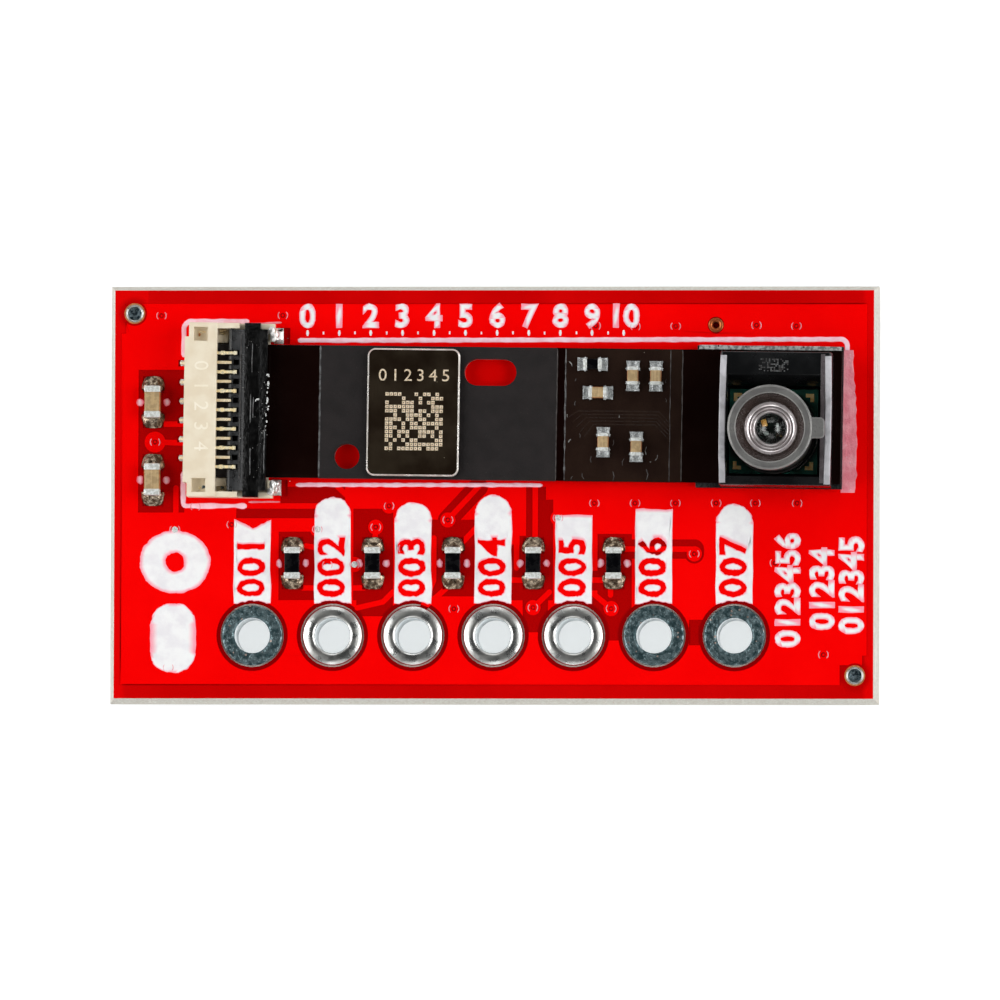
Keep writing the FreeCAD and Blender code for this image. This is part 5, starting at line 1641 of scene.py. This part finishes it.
# Raised plain figures moulded into the housing, in a paler copy of its cream: painted highlight on their raised faces
figureSizes = {"high": 0.46, "gap": 2.0, "place": (-9.22, 2.75), "sink": 0.003}
housingTop = nodeBox("connector_housing")[1].z
figures = addWords("mouldedFigures", "01234", figureSizes["high"], (0, 0), turn=-math.pi / 2, bold=0.0,
                   gap=figureSizes["gap"])
moveBy(figures, 0, 0, -inkLevel)
moveBy(figures, *figureSizes["place"], housingTop - figureSizes["sink"])
finishPiece(figures, "creamPale", angle=60)

# Metal seen in the housing's pockets: place, length, width, level and finish
pocketBits = (
    (-9.17, 5.1, 0.26, 0.1, 2.11, "paleContact"), (-9.27, 5.02, 0.08, 0.16, 2.11, "edgeOrange"),
    (-8.55, 5.16, 0.2, 0.1, 1.86, "paleContact"), (-8.56, 5.06, 0.1, 0.08, 1.86, "contactGold"),
    (-9.1, 0.2, 0.16, 0.12, 2.11, "plugTin"), (-9.24, 0.18, 0.07, 0.1, 2.11, "contactGold"),
    (-8.55, 0.1, 0.2, 0.1, 1.86, "paleContact"), (-8.56, 0.2, 0.1, 0.08, 1.86, "plugTin"),
)
pocketMetal = []
for x, y, wide, high, level, finish in pocketBits:
    bit = addJoint("pocketBit", wide, high, 0.1, round(x * 10 + y))
    moveBy(bit, x, y, level)
    setFinish(bit, finish)
    pocketMetal.append(bit)
finishPiece(joinPieces("pocketMetal", pocketMetal), angle=60)

# A curved pale line on the edge of the barrel's foot, seen past the ring: a painted highlight
footSizes = {"radius": 1.42, "from": -58, "to": 20, "width": 0.045, "level": 0.9, "thick": 0.03}
footPath = arcPath(axis.x, axis.y, footSizes["radius"], footSizes["from"], footSizes["to"], 12)
foot = addSensorLine("barrelFoot", footPath, footSizes["width"], "scuffPale", level=footSizes["level"], drift=0.6,
                     thick=footSizes["thick"])
finishPiece(foot, angle=60)
print("small metal done")

# CAD nodes that stay in view, with their finishes. The others are covered by the pieces above.
nodeFinishes = {
    "board_laminate": "boardEdge", "top_solder_mask": "maskRed", "bottom_solder_mask": "maskRed",
    "top_copper": "maskRed", "bottom_copper": "solderJoint", "via_barrels": "bareCopper",
    "chip_solder_joints": "solderJoint", "connector_solder_joints": "brightSolder",
    "flex_solder_joints": "brightSolder", "connector_anchor_rear": "brightSolder",
    "connector_anchor_front": "brightSolder", "flex_circuit": "flexBlack",
    "tail_contact_pads": "contactGold", "tail_stiffener": "stiffenerGrey", "mounting_tape": "tapeWhite",
    "middle_stiffener": "stiffenerGrey", "chip_stiffener": "flexBlack", "head_base_plate": "headBlack",
    "laser_board": "greenBoard", "laser_board_marks": "markGold", "laser_dies": "markGold",
    "long_contacts": "contactGold", "short_contacts": "paleContact",
}
for node, part in frame["nodes"].items():
    setFinish(part, nodeFinishes.get(node, "solderJoint"))
print("CAD nodes finished:", len(nodeFinishes))

# Floor, lights and camera. The floor lies a hair below the board, so that the two faces don't meet.
studio = {
    "floorSize": 3.0, "floorDrop": 0.01,
    "paper": (0.94, 0.94, 0.94, 1), "glow": (0.955, 0.995, 1, 1), "whiteShare": 0.53, "whiteGlow": 1.3,
    "sideLight": 3.3, "endLight": 1.3, "lampSize": 0.34, "lampDistance": 0.42, "sideLean": 36, "endLean": 34,
    "overhead": 0.06, "horizon": 0.95, "ends": 0.35,  # strengths of the ceiling, the walls and the dimmer pair of walls
}
clearSelection()
bpy.ops.mesh.primitive_plane_add(size=studio["floorSize"], location=(0, 0, -studio["floorDrop"] * mm))
floor = bpy.context.object
floor.name = "floor"
subdivideMesh(floor, 3)
floor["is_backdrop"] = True
paper = bpy.data.materials.new("whitePaper")
paper.use_nodes = True
tree = paper.node_tree
tree.nodes.remove(tree.nodes["Principled BSDF"])
lit = addNode(tree, "ShaderNodeBsdfDiffuse")
lit.inputs["Color"].default_value = studio["paper"]
plain = addNode(tree, "ShaderNodeEmission")
plain.inputs["Color"].default_value = studio["glow"]
plain.inputs["Strength"].default_value = studio["whiteGlow"]
blendPaper = addNode(tree, "ShaderNodeMixShader")
rays = addNode(tree, "ShaderNodeLightPath").outputs
seen = combineMath(tree, "MAXIMUM", rays["Is Camera Ray"], rays["Is Glossy Ray"])
seen = combineMath(tree, "MAXIMUM", seen, rays["Is Transmission Ray"])
link(tree, combineMath(tree, "MULTIPLY", seen, studio["whiteShare"]), blendPaper.inputs[0])
link(tree, lit.outputs[0], blendPaper.inputs[1])
link(tree, plain.outputs[0], blendPaper.inputs[2])
link(tree, blendPaper.outputs[0], tree.nodes["Material Output"].inputs["Surface"])
floor.data.materials.append(paper)

# Pale walls all round and a dark ceiling, as in a small light tent with the camera looking in at the top
world = bpy.data.worlds.new("lightTent")
bpy.context.scene.world = world
world.use_nodes = True
tree = world.node_tree
sky = tree.nodes["Background"]
parts = addNode(tree, "ShaderNodeSeparateXYZ")
link(tree, addNode(tree, "ShaderNodeTexCoord").outputs["Generated"], parts.inputs[0])


def wallStrength(value, start, end, low, high):
    ramp = addNode(tree, "ShaderNodeMapRange", interpolation_type="SMOOTHSTEP")
    for part, place in ((value, "Value"), (start, "From Min"), (end, "From Max"), (low, "To Min"), (high, "To Max")):
        link(tree, part, ramp.inputs[place])
    return ramp.outputs["Result"]


# The walls to the left and right are the bright ones
upwards = wallStrength(parts.outputs["Z"], 0.25, 0.8, studio["horizon"], studio["overhead"])
sideways = wallStrength(combineMath(tree, "ABSOLUTE", parts.outputs["X"]), 0.2, 0.75, studio["ends"], 1)
rays = addNode(tree, "ShaderNodeLightPath").outputs
walls = combineMath(tree, "MULTIPLY", upwards, sideways)
link(tree, combineMath(tree, "MAXIMUM", walls, rays["Is Camera Ray"]), sky.inputs["Strength"])
sky.inputs["Color"].default_value = (1, 1, 1, 1)


# A square lamp turned towards the object: compass direction and lean from the horizon in degrees
def addSoftbox(name, direction, radiance, size, lean):
    clearSelection()
    back = Matrix.Rotation(math.radians(direction), 4, "Z") @ Matrix.Rotation(math.radians(90 - lean), 4, "Y")
    spot = back @ Vector((0, 0, studio["lampDistance"]))
    bpy.ops.object.light_add(type="AREA", location=spot)
    lamp = bpy.context.object
    lamp.name = name
    lamp.rotation_mode = "QUATERNION"
    lamp.rotation_quaternion = spot.to_track_quat("Z", "Y")
    lamp.data.shape = "SQUARE"
    lamp.data.size = size
    lamp.data.energy = radiance * size * size * math.pi
    return lamp


addSoftbox("softboxRight", 0, studio["sideLight"], studio["lampSize"], studio["sideLean"])
addSoftbox("softboxLeft", 180, studio["sideLight"], studio["lampSize"], studio["sideLean"])
addSoftbox("softboxRear", 90, studio["endLight"], studio["lampSize"] * 0.8, studio["endLean"])
addSoftbox("softboxFront", 270, studio["endLight"], studio["lampSize"] * 0.8, studio["endLean"])

# The camera looks down, leaning a few degrees, and the view is so many millimetres wide
viewing = {"aim": (0.205, -0.18, 1.6), "distance": 600.0, "leanX": 3.6, "leanY": -3.1, "viewWidth": 31.55, "roll": 0.2,
           "sensor": 36}
aim = Vector(viewing["aim"])
away = Vector((math.tan(math.radians(viewing["leanX"])), math.tan(math.radians(viewing["leanY"])), 1))
away *= viewing["distance"]
bpy.ops.object.camera_add()
camera = bpy.context.object
camera.name = "camera"
back = away.normalized()
side = Vector((0, 1, 0)).cross(back).normalized()
up = back.cross(side)
turn = Matrix((side, up, back)).transposed().to_4x4() @ Matrix.Rotation(math.radians(viewing["roll"]), 4, "Z")
camera.matrix_world = Matrix.Translation((aim + away) * mm) @ turn
camera.data.sensor_width = viewing["sensor"]
camera.data.lens = viewing["sensor"] * away.length / viewing["viewWidth"]
camera.data.clip_start = 0.01
camera.data.clip_end = 10
bpy.context.scene.camera = camera
bpy.context.scene.view_settings.view_transform = "Standard"

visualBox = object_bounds()
for name, box in (("CAD", cadBox), ("visual", visualBox)):
    print("size", name, [[round(value / mm, 3) for value in corner] for corner in box])
